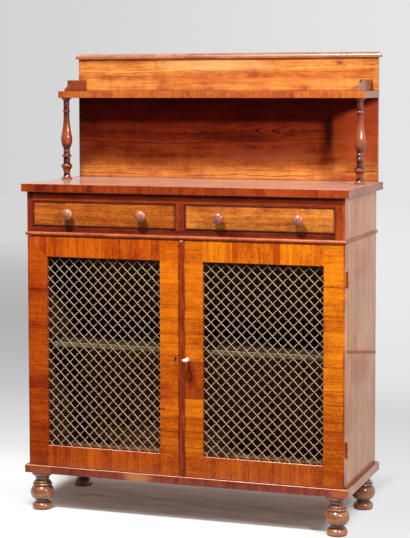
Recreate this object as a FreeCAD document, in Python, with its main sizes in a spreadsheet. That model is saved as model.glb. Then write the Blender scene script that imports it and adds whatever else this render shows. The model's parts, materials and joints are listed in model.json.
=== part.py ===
import FreeCAD, Part
import math
import os

import Sketcher

# A chiffonier: a low cupboard with two grille doors under two frieze drawers, on turned feet, with a raised
# back that carries one shelf on turned columns.
#
# Frame: millimetres, +X to the right seen from the front, +Y to the back, +Z up. The origin is on the floor,
# at the centre of the whole object's width and depth.

V = FreeCAD.Vector

# How far a cutting tool runs past the face that it opens.
OVER = 1.0
# Tolerance for comparing positions.
TINY = 0.01
# Shorter corner pieces of grille wire are left out.
SHORTEST_WIRE = 8.0
# Knuckles round the pin of one butt hinge.
KNUCKLES = 5
# Turns a cylinder's axis from +Z to +Y.
TO_BACK = FreeCAD.Rotation(V(1, 0, 0), -90)

# Each driving dimension: alias, value in millimetres, meaning.
DIMENSIONS = [
    # Case
    ("case_w", 940.0, "width over the case sides"),
    ("case_d", 360.0, "depth of the case behind the door faces"),
    ("rear_d", 388.0, "depth of the whole object behind the door faces"),
    ("foot_z", 110.5, "height of the feet, to the underside of the plinth"),
    ("plinth_t", 23.0, "thickness of the plinth"),
    ("plinth_side", 12.7, "overhang of the plinth at each side"),
    ("plinth_front", 4.5, "overhang of the plinth in front of the doors"),
    ("plinth_round", 2.5, "rounding of the plinth's upper edges"),
    ("under_top_z", 927.5, "height of the underside of the main top"),
    ("top_t", 23.0, "thickness of the main top"),
    ("top_side", 13.4, "overhang of the main top at each side"),
    ("top_front", 12.7, "overhang of the main top in front of the doors"),
    ("side_t", 19.0, "thickness of the case sides"),
    ("bottom_t", 16.0, "thickness of the cupboard's bottom"),
    ("back_t", 12.0, "thickness of the back boards"),
    ("back_joint", 0.4, "open joint between back boards"),
    ("shelf_z", 472.0, "height of the underside of the inner shelf"),
    ("shelf_t", 14.0, "thickness of the inner shelf"),
    ("shelf_in", 60.0, "distance of the inner shelf behind the door faces"),
    ("bearer_w", 18.0, "section of the shelf bearers"),
    # Frieze
    ("frieze_z", 801.5, "height of the underside of the frieze"),
    ("drawer_z0", 829.5, "height of the bottom of the drawer openings"),
    ("drawer_z1", 902.5, "height of the top of the drawer openings"),
    ("stile_left", 19.0, "width of the left frieze stile"),
    ("stile_right", 27.0, "width of the right frieze stile"),
    ("divider_x", -2.2, "centre of the divider between the drawers"),
    ("divider_w", 26.8, "width of the divider between the drawers"),
    ("lip_drop", 13.5, "drop of the frieze rail's lip behind the door heads"),
    ("lip_d", 22.4, "depth of that lip"),
    ("dust_t", 12.0, "thickness of the board under the drawers"),
    ("guide_t", 15.0, "height of the drawer guides"),
    ("bead_z", 802.0, "height of the underside of the frieze bead"),
    ("bead_h", 11.0, "height of the frieze bead"),
    ("bead_out", 5.0, "projection of the frieze bead"),
    # Doors
    ("door_t", 22.0, "thickness of the doors"),
    ("door_back", 0.6, "clearance between the doors and the case front"),
    ("door_gap", 1.0, "clearance above, below and between the doors"),
    ("seam_x", -6.0, "centre of the gap between the doors"),
    ("open_x0", 63.6, "inner edge of each grille opening, from the middle"),
    ("open_x1", 410.4, "outer edge of each grille opening, from the middle"),
    ("open_z0", 194.3, "height of the bottom of the grille openings"),
    ("open_z1", 741.0, "height of the top of the grille openings"),
    ("rebate_w", 8.0, "width of the rebate round the grille"),
    ("rebate_y", 10.5, "distance of that rebate behind the door face"),
    ("tenon_l", 25.0, "length of the rail tenons"),
    ("tenon_t", 7.0, "thickness of the rail tenons"),
    ("tenon_y", 2.5, "distance of the tenons behind the door face"),
    ("tenon_in", 8.0, "shoulder above and below each tenon"),
    ("wire_r", 1.5, "radius of the grille wires"),
    ("wire_step", 29.8, "diagonal of one mesh of the grille"),
    ("slip_w", 15.0, "width of the meeting slip"),
    ("slip_out", 4.5, "projection of the meeting slip"),
    # Hinges
    ("pin_out", 3.4, "distance of the hinge pins outside the case side"),
    ("pin_r", 1.2, "radius of the hinge pins"),
    ("pin_play", 0.05, "radial clearance of the hinge pins"),
    ("knuckle_r", 3.0, "outer radius of the hinge knuckles"),
    ("knuckle_l", 9.0, "pitch of the hinge knuckles"),
    ("knuckle_gap", 0.4, "gap between neighbouring knuckles"),
    ("leaf_t", 1.4, "thickness of the hinge leaves"),
    ("leaf_w", 17.0, "width of the hinge leaves"),
    ("hinge_low", 236.5, "height of the lower hinges"),
    ("hinge_high", 704.0, "height of the upper hinges"),
    # Lock, key and bolts
    ("key_x", 21.5, "key axis to the right of the middle"),
    ("key_z", 468.0, "height of the key axis"),
    ("key_r", 2.5, "radius of the key's shank"),
    ("key_out", 36.0, "projection of the key in front of the doors"),
    ("bow_r", 6.8, "radius of the key's bow at the wire's centre"),
    ("bow_wire", 3.6, "radius of the bow's wire"),
    ("collar_r", 5.5, "radius of the key's collar"),
    ("collar_l", 3.0, "length of the key's collar, and its distance from the bow"),
    ("bit_l", 9.5, "reach of the key's bit from its axis"),
    ("bit_t", 2.6, "thickness of the key's bit"),
    ("keyhole_r", 3.2, "radius of the keyholes"),
    ("keyhole_slot", 3.8, "width of the keyhole's slot"),
    ("keyhole_drop", 11.0, "depth of the keyhole's slot below its centre"),
    ("lock_w", 50.0, "width of the lock case"),
    ("lock_h", 62.0, "height of the lock case"),
    ("lock_wall", 1.6, "wall of the lock case"),
    ("lock_y", 10.8, "distance of the lock case behind the door face"),
    ("lock_lift", 1.0, "height of the lock case's centre above the key"),
    ("lock_play", 0.2, "clearance round the lock case"),
    ("bolt_play", 0.6, "clearance round the bolts and at the ends of dowels"),
    ("strike_d", 9.0, "depth of the strike pocket"),
    ("bolt_z", 480.0, "height of the underside of the lock bolt"),
    ("bolt_h", 10.0, "height of the lock bolt"),
    ("bolt_l", 37.0, "length of the lock bolt"),
    ("bolt_t", 5.6, "thickness of the lock bolt"),
    ("blind_key_x", -17.5, "centre of the left door's blind keyhole"),
    ("blind_depth", 4.0, "depth of the blind keyhole"),
    ("flush_x", -24.0, "centre of the flush bolts"),
    ("flush_r", 3.0, "radius of the flush bolts"),
    ("flush_l", 80.0, "length of the flush bolts"),
    ("flush_y", 17.5, "distance of the flush bolts behind the door face"),
    ("flush_throw", 10.0, "travel of the flush bolts"),
    ("thumb_l", 8.0, "height of the flush bolts' thumb pieces"),
    ("thumb_w", 4.0, "width of the flush bolts' thumb pieces"),
    ("thumb_out", 4.0, "projection of the thumb pieces behind the door"),
    # Drawers
    ("drawer_gap", 0.8, "clearance round the drawer fronts"),
    ("front_t", 20.0, "thickness of the drawer fronts"),
    ("drawer_l", 330.0, "length of the drawers"),
    ("drawer_side_h", 62.0, "height of the drawer sides"),
    ("drawer_side_t", 9.0, "thickness of the drawer sides"),
    ("drawer_floor_t", 6.0, "thickness of the drawer bottoms"),
    ("drawer_floor_up", 5.0, "height of the drawer bottoms above the sides' edge"),
    ("drawer_lift", 0.5, "clearance between the drawers and what they run on"),
    ("cock_t", 3.0, "thickness of the cock beads"),
    ("cock_d", 10.0, "depth of the cock beads let into the fronts"),
    ("cock_out", 2.0, "projection of the cock beads"),
    ("knob_z", 865.8, "height of the knobs"),
    ("knob_step_left", 111.2, "half the distance between the left drawer's knobs"),
    ("knob_step_right", 114.2, "half the distance between the right drawer's knobs"),
    ("knob_off_left", 8.4, "offset of the left knobs from their drawer's centre"),
    ("knob_off_right", 2.0, "offset of the right knobs from their drawer's centre"),
    ("knob_dowel_r", 4.5, "radius of the knobs' dowels"),
    ("knob_dowel_l", 18.0, "length of the knobs' dowels"),
    # Upper part
    ("panel_t", 12.5, "thickness of the upper back panel"),
    ("panel_z", 1310.0, "height of the top of the upper back panel"),
    ("crown_t", 16.0, "height of the crowning moulding"),
    ("crown_side", 8.5, "overhang of the crowning moulding at each end"),
    ("crown_front", 5.0, "overhang of the crowning moulding in front"),
    ("crown_round", 13.0, "rounding of the crowning moulding"),
    ("rack_z", 1193.5, "height of the underside of the upper shelf"),
    ("rack_t", 20.0, "thickness of the upper shelf"),
    ("rack_in", 220.6, "distance of the upper shelf behind the door faces"),
    ("column_x", 451.0, "distance of the columns from the middle"),
    ("column_in", 238.0, "distance of the columns behind the door faces"),
    ("column_dowel_r", 4.0, "radius of the columns' dowels"),
    ("column_dowel_l", 11.0, "length of the columns' dowels"),
    ("gallery_x", 452.0, "outer face of the end galleries, from the middle"),
    ("gallery_t", 6.0, "thickness of the end galleries"),
    ("gallery_h", 32.5, "height of the end galleries"),
    ("gallery_in", 226.0, "distance of the galleries' toes behind the door faces"),
    ("gallery_toe", 23.0, "reach of each gallery's toe in front of its top edge"),
    # Feet
    ("foot_x", 443.0, "distance of the feet from the middle"),
    ("foot_front", 28.1, "distance of the front feet behind the door faces"),
    ("foot_back", 327.2, "distance of the back feet behind the door faces"),
    ("spigot_r", 8.0, "radius of the feet's spigots"),
    ("spigot_l", 20.0, "length of the feet's spigots"),
    ("dowel_play", 0.1, "radial clearance of dowels and spigots"),
]

# Turned profiles, from the bottom up: station, radius, height. A station whose name ends in "_bulge" lies on
# the arc that joins its two neighbours; every other pair of neighbours is joined by a straight line.
FOOT = [
    ("pad_low", 27.7, 0.0),
    ("pad_bulge", 29.7, 7.5),
    ("pad_top", 21.5, 21.0),
    ("neck_low", 19.0, 22.0),
    ("neck_top", 19.0, 26.0),
    ("ball_bulge", 35.0, 48.0),
    ("ball_top", 25.0, 69.0),
    ("ring_foot", 27.0, 69.6),
    ("ring_bulge", 28.4, 73.0),
    ("ring_head", 26.6, 76.5),
    ("fillet_foot", 24.0, 77.0),
    ("fillet_bulge", 24.6, 79.5),
    ("fillet_head", 21.0, 83.0),
    ("throat_low", 20.0, 87.0),
    ("throat_bulge", 20.6, 93.5),
    ("collar_low", 26.0, 98.5),
    ("collar_bulge", 29.6, 102.5),
    ("collar_top", 30.6, 107.0),
    ("collar_head", 30.6, 110.5),
]
COLUMN = [
    ("base_low", 16.6, 0.0),
    ("base_edge", 16.6, 3.0),
    ("base_bulge", 11.6, 7.5),
    ("base_top", 9.8, 15.5),
    ("cup_foot", 9.2, 17.0),
    ("cup_bulge", 10.4, 23.5),
    ("cup_head", 12.7, 30.5),
    ("torus_foot", 13.4, 33.0),
    ("torus_bulge", 16.9, 39.5),
    ("torus_head", 12.6, 46.0),
    ("drum_foot", 10.1, 47.0),
    ("drum_head", 10.1, 66.0),
    ("bell_edge", 15.0, 68.0),
    ("bell_rim", 15.0, 71.0),
    ("bell_bulge", 10.6, 74.5),
    ("bell_top", 9.2, 80.0),
    ("bead_foot", 9.2, 81.5),
    ("bead_bulge", 10.5, 84.5),
    ("bead_head", 9.2, 87.5),
    ("vase_low", 9.2, 91.0),
    ("vase_bulge", 16.3, 110.0),
    ("vase_full", 15.4, 132.0),
    ("vase_curve_bulge", 11.2, 156.0),
    ("vase_top", 8.7, 190.0),
    ("ring_foot", 8.7, 200.0),
    ("ring_bulge", 10.7, 203.5),
    ("ring_head", 8.7, 207.0),
    ("shaft_top", 8.7, 233.0),
    ("cap_bulge", 10.0, 236.6),
    ("cap_edge", 14.5, 239.5),
    ("cap_top", 14.5, 243.0),
]
KNOB = [
    ("seat_low", 9.5, 0.0),
    ("seat_edge", 9.5, 2.5),
    ("stem_bulge", 6.6, 7.0),
    ("head_low", 10.5, 12.0),
    ("head_rim_bulge", 16.0, 17.5),
    ("head_shoulder", 14.2, 23.0),
    ("head_dome_bulge", 8.2, 27.2),
    ("head_top", 2.0, 29.0),
    ("head_centre", 0.0, 29.0),
]
TURNINGS = {"foot": FOOT, "column": COLUMN, "knob": KNOB}
# The scroll at a gallery's toe, from the top down, as fractions of the toe's reach and the board's height.
SCROLL = [(1.0, 1.0), (1.0, 0.66), (0.8, 0.44, "arc"), (0.4, 0.33), (0.1, 0.2, "arc")]

doc = FreeCAD.newDocument("Chiffonier")
sheet = doc.addObject("Spreadsheet::Sheet", "Sizes")
kept = []


class Size:
    """A length held as the sheet expression that drives it and as its present number."""

    def __init__(self, text, number):
        self.text = text
        self.number = number

    def __add__(self, other):
        other = as_size(other)
        return Size(f"({self.text} + {other.text})", self.number + other.number)

    def __sub__(self, other):
        other = as_size(other)
        return Size(f"({self.text} - {other.text})", self.number - other.number)

    def __mul__(self, other):
        other = as_size(other)
        return Size(f"({self.text} * {other.text})", self.number * other.number)

    def __truediv__(self, other):
        other = as_size(other)
        return Size(f"({self.text} / {other.text})", self.number / other.number)

    def __neg__(self):
        return Size(f"(0 - {self.text})", -self.number)


def as_size(value):
    """Give a plain number the same two forms as a named size."""
    if isinstance(value, Size):
        return value
    return Size(f"({float(value)})", float(value))


class Sizes:
    """The sheet's aliases as attributes, such as s.case_w."""


def fill_sheet():
    """Write every driving dimension into the sheet and return them as sizes."""
    rows = list(DIMENSIONS)
    for turning, stations in TURNINGS.items():
        for station, radius, height in stations:
            rows.append((f"{turning}_{station}_r", radius, f"{turning}: radius at {station}"))
            rows.append((f"{turning}_{station}_up", height, f"{turning}: height of {station}"))
    sizes = Sizes()
    for number, (alias, value, meaning) in enumerate(rows, start=1):
        sheet.set(f"A{number}", meaning)
        sheet.set(f"B{number}", str(value))
        sheet.setAlias(f"B{number}", alias)
        setattr(sizes, alias, Size(f"{sheet.Name}.{alias}", value))
    doc.recompute()
    return sizes


s = fill_sheet()

# Places that several pieces share.
FACE = (s.key_out - s.rear_d) / 2
HALF = s.case_w / 2
INNER = HALF - s.side_t
PLINTH_TOP = s.foot_z + s.plinth_t
TOP = s.under_top_z + s.top_t
CASE_Y = FACE + s.door_t + s.door_back
DOOR_BACK_Y = FACE + s.door_t
CASE_BACK_Y = FACE + s.case_d
REAR_Y = FACE + s.rear_d
PANEL_Y = REAR_Y - s.panel_t
DOOR_Z0 = PLINTH_TOP + s.door_gap
DOOR_Z1 = s.frieze_z - s.door_gap
PIN_Y = DOOR_BACK_Y + s.door_back / 2
DRAWER_Z0 = s.drawer_z0 + s.drawer_lift
RACK_TOP = s.rack_z + s.rack_t


def bind(thing, prop, size):
    """Drive one property of an object from the sheet."""
    thing.setExpression(prop, as_size(size).text)


def place(thing, x, y, z, rotation=None):
    """Place an object, with its position driven from the sheet."""
    thing.Placement = FreeCAD.Placement(V(0, 0, 0), rotation or FreeCAD.Rotation())
    for axis, size in zip("xyz", (x, y, z)):
        bind(thing, f"Placement.Base.{axis}", size)


def keep(label, thing):
    """Name a finished piece and list it for export."""
    thing.Label = label
    kept.append(thing)


def box(name, x, y, z):
    """A box between two limits along each axis."""
    made = doc.addObject("Part::Box", name)
    for prop, (low, high) in zip(("Length", "Width", "Height"), (x, y, z)):
        bind(made, prop, as_size(high) - low)
    place(made, x[0], y[0], z[0])
    return made


def rod(name, radius, start, length, turn=None):
    """A cylinder that starts at a point and runs along +Z, or as a turn of that axis says."""
    made = doc.addObject("Part::Cylinder", name)
    bind(made, "Radius", radius)
    bind(made, "Height", length)
    place(made, *start, turn)
    return made


def fuse(name, pieces):
    """Several shapes as one solid."""
    made = doc.addObject("Part::MultiFuse", name)
    made.Shapes = pieces
    made.Refine = True
    return made


def cut(name, base, tools):
    """A shape with others taken out of it."""
    made = doc.addObject("Part::Cut", name)
    made.Base = base
    made.Tool = tools[0] if len(tools) == 1 else fuse(f"{name}_tools", tools)
    return made


def common(name, first, second):
    """What two shapes share."""
    made = doc.addObject("Part::Common", name)
    made.Base = first
    made.Tool = second
    return made


def group(name, pieces):
    """Separate solids that belong to one named piece."""
    made = doc.addObject("Part::Compound", name)
    made.Links = pieces
    return made


def plane_of(body, role):
    """One of a body's own origin planes."""
    return next(item for item in body.Origin.OriginFeatures if item.Role == role)


def outline_sketch(body, role, stations):
    """A closed sketch through (u, v) stations; a third entry marks a station that lies on an arc."""
    sketch = body.newObject("Sketcher::SketchObject", f"{body.Name}_sketch")
    sketch.AttachmentSupport = [(plane_of(body, role), "")]
    sketch.MapMode = "FlatFace"
    corners = [station for station in stations if len(station) == 2]
    arcs = {}
    for index, station in enumerate(stations):
        if len(station) == 3:
            arcs[corners.index(stations[index - 1])] = station
    for index, start in enumerate(corners):
        end = corners[(index + 1) % len(corners)]
        first, last = (V(as_size(u).number, as_size(v).number, 0) for u, v in (start, end))
        if index in arcs:
            u, v, _ = arcs[index]
            middle = V(as_size(u).number, as_size(v).number, 0)
            edge = sketch.addGeometry(Part.ArcOfCircle(first, middle, last), False)
            # A clockwise arc is stored the other way round, so its ends are looked up.
            forward = first.distanceToPoint(sketch.getPoint(edge, 1)) < 1e-6
            ends = (1, 2) if forward else (2, 1)
            through = sketch.addGeometry(Part.Point(middle), True)
            pin_point(sketch, through, 1, u, v)
            sketch.addConstraint(Sketcher.Constraint("PointOnObject", through, 1, edge))
        else:
            edge = sketch.addGeometry(Part.LineSegment(first, last), False)
            ends = (1, 2)
        pin_point(sketch, edge, ends[0], *start)
        if index:
            sketch.addConstraint(Sketcher.Constraint("Coincident", previous[0], previous[1], edge, ends[0]))
        else:
            opening = (edge, ends[0])
        previous = (edge, ends[1])
    sketch.addConstraint(Sketcher.Constraint("Coincident", *previous, *opening))
    return sketch


def pin_point(sketch, edge, end, u, v):
    """Hold a sketch point at its two driven distances from the sketch's origin."""
    for kind, axis, size in (("DistanceX", -2, as_size(u)), ("DistanceY", -1, as_size(v))):
        if size.number == 0:
            sketch.addConstraint(Sketcher.Constraint("PointOnObject", edge, end, axis))
        else:
            index = sketch.addConstraint(Sketcher.Constraint(kind, -1, 1, edge, end, size.number))
            sketch.setExpression(f"Constraints[{index}]", size.text)


def padded(name, role, stations, length):
    """A body: one closed outline, padded at right angles to its plane."""
    body = doc.addObject("PartDesign::Body", name)
    sketch = outline_sketch(body, role, stations)
    pad = body.newObject("PartDesign::Pad", f"{name}_pad")
    pad.Profile = sketch
    bind(pad, "Length", length)
    return body


def rounded_board(name, half, depth, thick, radius):
    """A flat board about X = 0 whose upper edges are rounded in front and at both ends."""
    body = padded(name, "XY_Plane", [(0, 0), (half * 2, 0), (half * 2, depth), (0, depth)], thick)
    doc.recompute()
    names = []
    for number, edge in enumerate(body.Tip.Shape.Edges, start=1):
        bounds = edge.BoundBox
        on_top = bounds.ZMin > thick.number - TINY
        behind = bounds.YMin > depth.number - TINY
        if on_top and not behind:
            names.append(f"Edge{number}")
    pad = body.Tip
    fillet = body.newObject("PartDesign::Fillet", f"{name}_round")
    fillet.Base = (pad, names)
    bind(fillet, "Radius", radius)
    return body


def turned(name, turning, dowel_r, below=0, above=0):
    """A turned body: its profile, with a dowel below it, above it or both."""
    profile = TURNINGS[turning]
    stations = [(0, -below), (dowel_r, -below), (dowel_r, 0)] if below else [(0, 0)]
    for station, _, _ in profile:
        radius = getattr(s, f"{turning}_{station}_r")
        height = getattr(s, f"{turning}_{station}_up")
        on_arc = ("arc",) if station.endswith("_bulge") else ()
        stations.append((radius, height, *on_arc))
    if above:
        top = getattr(s, f"{turning}_{profile[-1][0]}_up")
        stations += [(dowel_r, top), (dowel_r, top + above), (0, top + above)]
    body = doc.addObject("PartDesign::Body", name)
    sketch = outline_sketch(body, "XZ_Plane", stations)
    spin = body.newObject("PartDesign::Revolution", f"{name}_spin")
    spin.Profile = sketch
    spin.ReferenceAxis = (sketch, ["V_Axis"])
    spin.Angle = 360
    return body


def make_feet():
    """Four turned feet, each with a spigot that stands up into the plinth."""
    for row, depth in (("front", s.foot_front), ("back", s.foot_back)):
        for side, sign in (("left", -1), ("right", 1)):
            foot = turned(f"foot_{row}_{side}", "foot", s.spigot_r, above=s.spigot_l)
            place(foot, s.foot_x * sign, FACE + depth, 0)
            keep(f"foot_{row}_{side}", foot)


def make_plinth():
    """The board under the case, rounded along its upper edges and drilled for feet and bolt."""
    half = HALF + s.plinth_side
    board = rounded_board("plinth_board", half, s.case_d + s.plinth_front, s.plinth_t, s.plinth_round)
    place(board, -half, FACE - s.plinth_front, s.foot_z)
    tools = []
    for depth_in in (s.foot_front, s.foot_back):
        for sign in (-1, 1):
            start = (s.foot_x * sign, FACE + depth_in, s.foot_z)
            tools.append(rod("spigot_hole", s.spigot_r + s.dowel_play, start, s.spigot_l + s.bolt_play))
    keeper = (s.flush_x, FACE + s.flush_y, PLINTH_TOP - s.flush_throw)
    tools.append(rod("bolt_keep_low", s.flush_r + s.bolt_play, keeper, s.flush_throw + OVER))
    keep("plinth", cut("plinth_cut", board, tools))


def mirrored(sign, near, far):
    """Limits along X from two distances to the middle."""
    return (near, far) if sign > 0 else (-far, -near)


def leaf_recesses(sign, limits_y):
    """Where one side's two hinge leaves are let into the wood."""
    limits_x = mirrored(sign, HALF - s.leaf_w, HALF + OVER)
    reach = s.knuckle_l * KNUCKLES / 2
    tools = []
    for height in (s.hinge_low, s.hinge_high):
        tools.append(box("leaf_recess", limits_x, limits_y, (height - reach, height + reach)))
    return tools


def make_case():
    """Sides, bottom, back boards and the inner shelf on its bearers."""
    for side, sign in (("left", -1), ("right", 1)):
        limits = (INNER, HALF) if sign > 0 else (-HALF, -INNER)
        blank = box(f"side_{side}_blank", limits, (CASE_Y, CASE_BACK_Y), (PLINTH_TOP, s.under_top_z))
        recesses = leaf_recesses(sign, (CASE_Y - OVER, CASE_Y + s.leaf_t))
        keep(f"side_{side}", cut(f"side_{side}_cut", blank, recesses))
    floor = (PLINTH_TOP, PLINTH_TOP + s.bottom_t)
    inside = (CASE_Y, CASE_BACK_Y - s.back_t)
    keep("cupboard_bottom", box("cupboard_bottom", (-INNER, INNER), inside, floor))
    boards = []
    width = INNER / 2
    for number in range(4):
        left = width * number - INNER
        limits = (left, left + width - s.back_joint)
        depth = (CASE_BACK_Y - s.back_t, CASE_BACK_Y)
        boards.append(box("back_board", limits, depth, (PLINTH_TOP, s.under_top_z)))
    keep("case_back", group("case_back_boards", boards))
    shelf_y = (FACE + s.shelf_in, CASE_BACK_Y - s.back_t)
    shelf_z = (s.shelf_z, s.shelf_z + s.shelf_t)
    keep("inner_shelf", box("inner_shelf", (-INNER, INNER), shelf_y, shelf_z))
    bearers = []
    for limits in ((-INNER, s.bearer_w - INNER), (INNER - s.bearer_w, INNER)):
        bearers.append(box("bearer", limits, shelf_y, (s.shelf_z - s.bearer_w, s.shelf_z)))
    keep("shelf_bearers", group("shelf_bearer_pair", bearers))


def drawer_openings():
    """The two drawer openings as (name, left, right)."""
    left = (s.stile_left - HALF, s.divider_x - s.divider_w / 2)
    right = (s.divider_x + s.divider_w / 2, HALF - s.stile_right)
    return (("left", *left), ("right", *right))


def make_frieze():
    """Stiles, rails and divider round the drawers, with the board and guides that they run on."""
    openings = drawer_openings()
    low, high = openings[0][1], openings[1][2]
    front = (FACE, CASE_Y)
    whole = (s.frieze_z, s.under_top_z)
    keep("frieze_stile_left", box("frieze_stile_left", (-HALF, low), front, whole))
    keep("frieze_stile_right", box("frieze_stile_right", (high, HALF), front, whole))
    keep("frieze_top_rail", box("frieze_top_rail", (low, high), front, (s.drawer_z1, s.under_top_z)))
    lip = (CASE_Y, CASE_Y + s.lip_d)
    face = box("rail_face", (low, high), front, (s.frieze_z, s.drawer_z0))
    behind = box("rail_lip", (-INNER, INNER), lip, (s.frieze_z - s.lip_drop, s.drawer_z0))
    keeper = (s.flush_x, FACE + s.flush_y, s.frieze_z - OVER)
    hole = rod("bolt_keep_high", s.flush_r + s.bolt_play, keeper, s.flush_throw + OVER)
    keep("frieze_bottom_rail", cut("frieze_rail_cut", fuse("rail_blank", [face, behind]), [hole]))
    divider = (openings[0][2], openings[1][1])
    keep("frieze_divider", box("frieze_divider", divider, front, (s.drawer_z0, s.drawer_z1)))
    board_y = (CASE_Y + s.lip_d, CASE_BACK_Y - s.back_t)
    keep("dust_board", box("dust_board", (-INNER, INNER), board_y, (s.drawer_z0 - s.dust_t, s.drawer_z0)))
    guides = []
    for limits in (divider, (high, INNER)):
        guide_y = (CASE_Y, CASE_BACK_Y - s.back_t)
        guides.append(box("guide", limits, guide_y, (s.drawer_z0, s.drawer_z0 + s.guide_t)))
    keep("drawer_guides", group("drawer_guide_pair", guides))


def bead_run(name, length, out, height):
    """A half-round bead lying along +X, its flat side on the XZ plane, bulging towards -Y."""
    return padded(name, "YZ_Plane", [(out, 0), (out, height), (0, height / 2, "arc")], length)


def make_frieze_bead():
    """The bead under the drawers: one run along the front and one along each side, mitred at the corners."""
    out, tall = s.bead_out, s.bead_h
    span = (HALF + out) * 2
    front = bead_run("bead_front", span, out, tall)
    place(front, -HALF - out, FACE - out, s.bead_z)
    corners = [(0, 0), (span, 0), (span - out, out), (out, out)]
    footprint = padded("bead_front_plan", "XY_Plane", corners, tall)
    place(footprint, -HALF - out, FACE - out, s.bead_z)
    runs = [common("bead_front_cut", front, footprint)]
    length = s.case_d + out
    for side, sign in (("left", -1), ("right", 1)):
        turn = FreeCAD.Rotation(V(0, 0, 1), 90 * sign)
        run = bead_run(f"bead_{side}", length, out, tall)
        start_y = FACE - out if sign > 0 else CASE_BACK_Y
        place(run, (HALF + out) * sign, start_y, s.bead_z, turn)
        corners = [(0, 0), (out, out), (out, length), (0, length)]
        if sign > 0:
            corners = [(out, 0), (out, length), (0, length), (0, out)]
        footprint = padded(f"bead_{side}_plan", "XY_Plane", corners, tall)
        place(footprint, -HALF - out if sign < 0 else HALF, FACE - out, s.bead_z)
        runs.append(common(f"bead_{side}_cut", run, footprint))
    keep("frieze_bead", group("frieze_bead_runs", runs))


def column_places():
    """The two columns as (name, x, y)."""
    depth = FACE + s.column_in
    return (("left", -s.column_x, depth), ("right", s.column_x, depth))


def make_main_top():
    """The main top, drilled for the columns' lower dowels."""
    half = HALF + s.top_side
    blank = box("main_top_blank", (-half, half), (FACE - s.top_front, REAR_Y), (s.under_top_z, TOP))
    tools = []
    for _, x, y in column_places():
        start = (x, y, TOP - s.column_dowel_l - s.bolt_play)
        tools.append(rod("dowel_hole", s.column_dowel_r + s.dowel_play, start, s.column_dowel_l + OVER))
    keep("main_top", cut("main_top_cut", blank, tools))


def make_upper_part():
    """Back panel with its crowning moulding, and the upper shelf on its columns."""
    keep("upper_back_panel", box("upper_back_panel", (-HALF, HALF), (PANEL_Y, REAR_Y), (TOP, s.panel_z)))
    half = HALF + s.crown_side
    crown = rounded_board("upper_moulding", half, s.panel_t + s.crown_front, s.crown_t, s.crown_round)
    place(crown, -half, PANEL_Y - s.crown_front, s.panel_z)
    keep("upper_moulding", crown)
    blank = box("rack_blank", (-HALF, HALF), (FACE + s.rack_in, PANEL_Y), (s.rack_z, RACK_TOP))
    tools = []
    for _, x, y in column_places():
        start = (x, y, s.rack_z - OVER)
        length = s.column_dowel_l + s.bolt_play + OVER
        tools.append(rod("dowel_hole", s.column_dowel_r + s.dowel_play, start, length))
    keep("upper_shelf", cut("upper_shelf_cut", blank, tools))
    dowel = s.column_dowel_l
    for side, x, y in column_places():
        column = turned(f"column_{side}", "column", s.column_dowel_r, below=dowel, above=dowel)
        place(column, x, y, TOP)
        keep(f"column_{side}", column)


def make_galleries():
    """The low boards at the ends of the upper shelf, cut to a scrolled toe in front."""
    length = PANEL_Y - FACE - s.gallery_in
    toe, tall = s.gallery_toe, s.gallery_h
    outline = [(0, 0), (length, 0), (length, tall)]
    for across, up, *kind in SCROLL:
        outline.append((toe * across, tall * up, *kind))
    for side, sign in (("left", -1), ("right", 1)):
        board = padded(f"gallery_{side}", "YZ_Plane", outline, s.gallery_t)
        left = -s.gallery_x if sign < 0 else s.gallery_x - s.gallery_t
        place(board, left, FACE + s.gallery_in, RACK_TOP)
        keep(f"gallery_{side}", board)


def hinge_knuckles(name, axis_x, height, which, radius):
    """The chosen knuckles of one hinge as cylinders round its pin."""
    start = height - s.knuckle_l * KNUCKLES / 2
    made = []
    for number in which:
        low = start + s.knuckle_l * number + s.knuckle_gap / 2
        made.append(rod(name, radius, (axis_x, PIN_Y, low), s.knuckle_l - s.knuckle_gap))
    return made


def hinge_half(name, sign, height, which, leaf_y):
    """One leaf of a hinge with its own knuckles."""
    axis_x = (HALF + s.pin_out) * sign
    reach = s.knuckle_l * KNUCKLES / 2
    inner, outer = (HALF - s.leaf_w) * sign, HALF * sign
    limits = (inner, outer) if sign > 0 else (outer, inner)
    pieces = [box(f"{name}_leaf", limits, leaf_y, (height - reach, height + reach))]
    for number in which:
        low = height - reach + s.knuckle_l * number + s.knuckle_gap / 2
        bridge = (outer, axis_x) if sign > 0 else (axis_x, outer)
        pieces.append(box(f"{name}_bridge", bridge, leaf_y, (low, low + s.knuckle_l - s.knuckle_gap)))
    pieces += hinge_knuckles(f"{name}_knuckle", axis_x, height, which, s.knuckle_r)
    return pieces, axis_x


def make_hinges():
    """Butt hinges: the case leaf carries three knuckles, the door leaf two knuckles and the pin."""
    for side, sign in (("left", -1), ("right", 1)):
        case_halves, door_halves = [], []
        for level, height in (("low", s.hinge_low), ("high", s.hinge_high)):
            start = height - s.knuckle_l * KNUCKLES / 2
            leaf_y = (CASE_Y, CASE_Y + s.leaf_t)
            name = f"case_hinge_{side}_{level}"
            pieces, axis_x = hinge_half(name, sign, height, (0, 2, 4), leaf_y)
            bore_start = (axis_x, PIN_Y, start - OVER)
            bore = rod(f"{name}_bore", s.pin_r + s.pin_play, bore_start, s.knuckle_l * KNUCKLES + OVER * 2)
            case_halves.append(cut(f"{name}_cut", fuse(f"{name}_blank", pieces), [bore]))
            leaf_y = (DOOR_BACK_Y - s.leaf_t, DOOR_BACK_Y)
            name = f"door_hinge_{side}_{level}"
            pieces, axis_x = hinge_half(name, sign, height, (1, 3), leaf_y)
            pin = rod(f"{name}_pin", s.pin_r, (axis_x, PIN_Y, start), s.knuckle_l * KNUCKLES)
            door_halves.append(fuse(f"{name}_whole", [*pieces, pin]))
        keep(f"case_hinges_{side}", group(f"case_hinges_{side}_pair", case_halves))
        keep(f"door_hinges_{side}", group(f"door_hinges_{side}_pair", door_halves))


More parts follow.
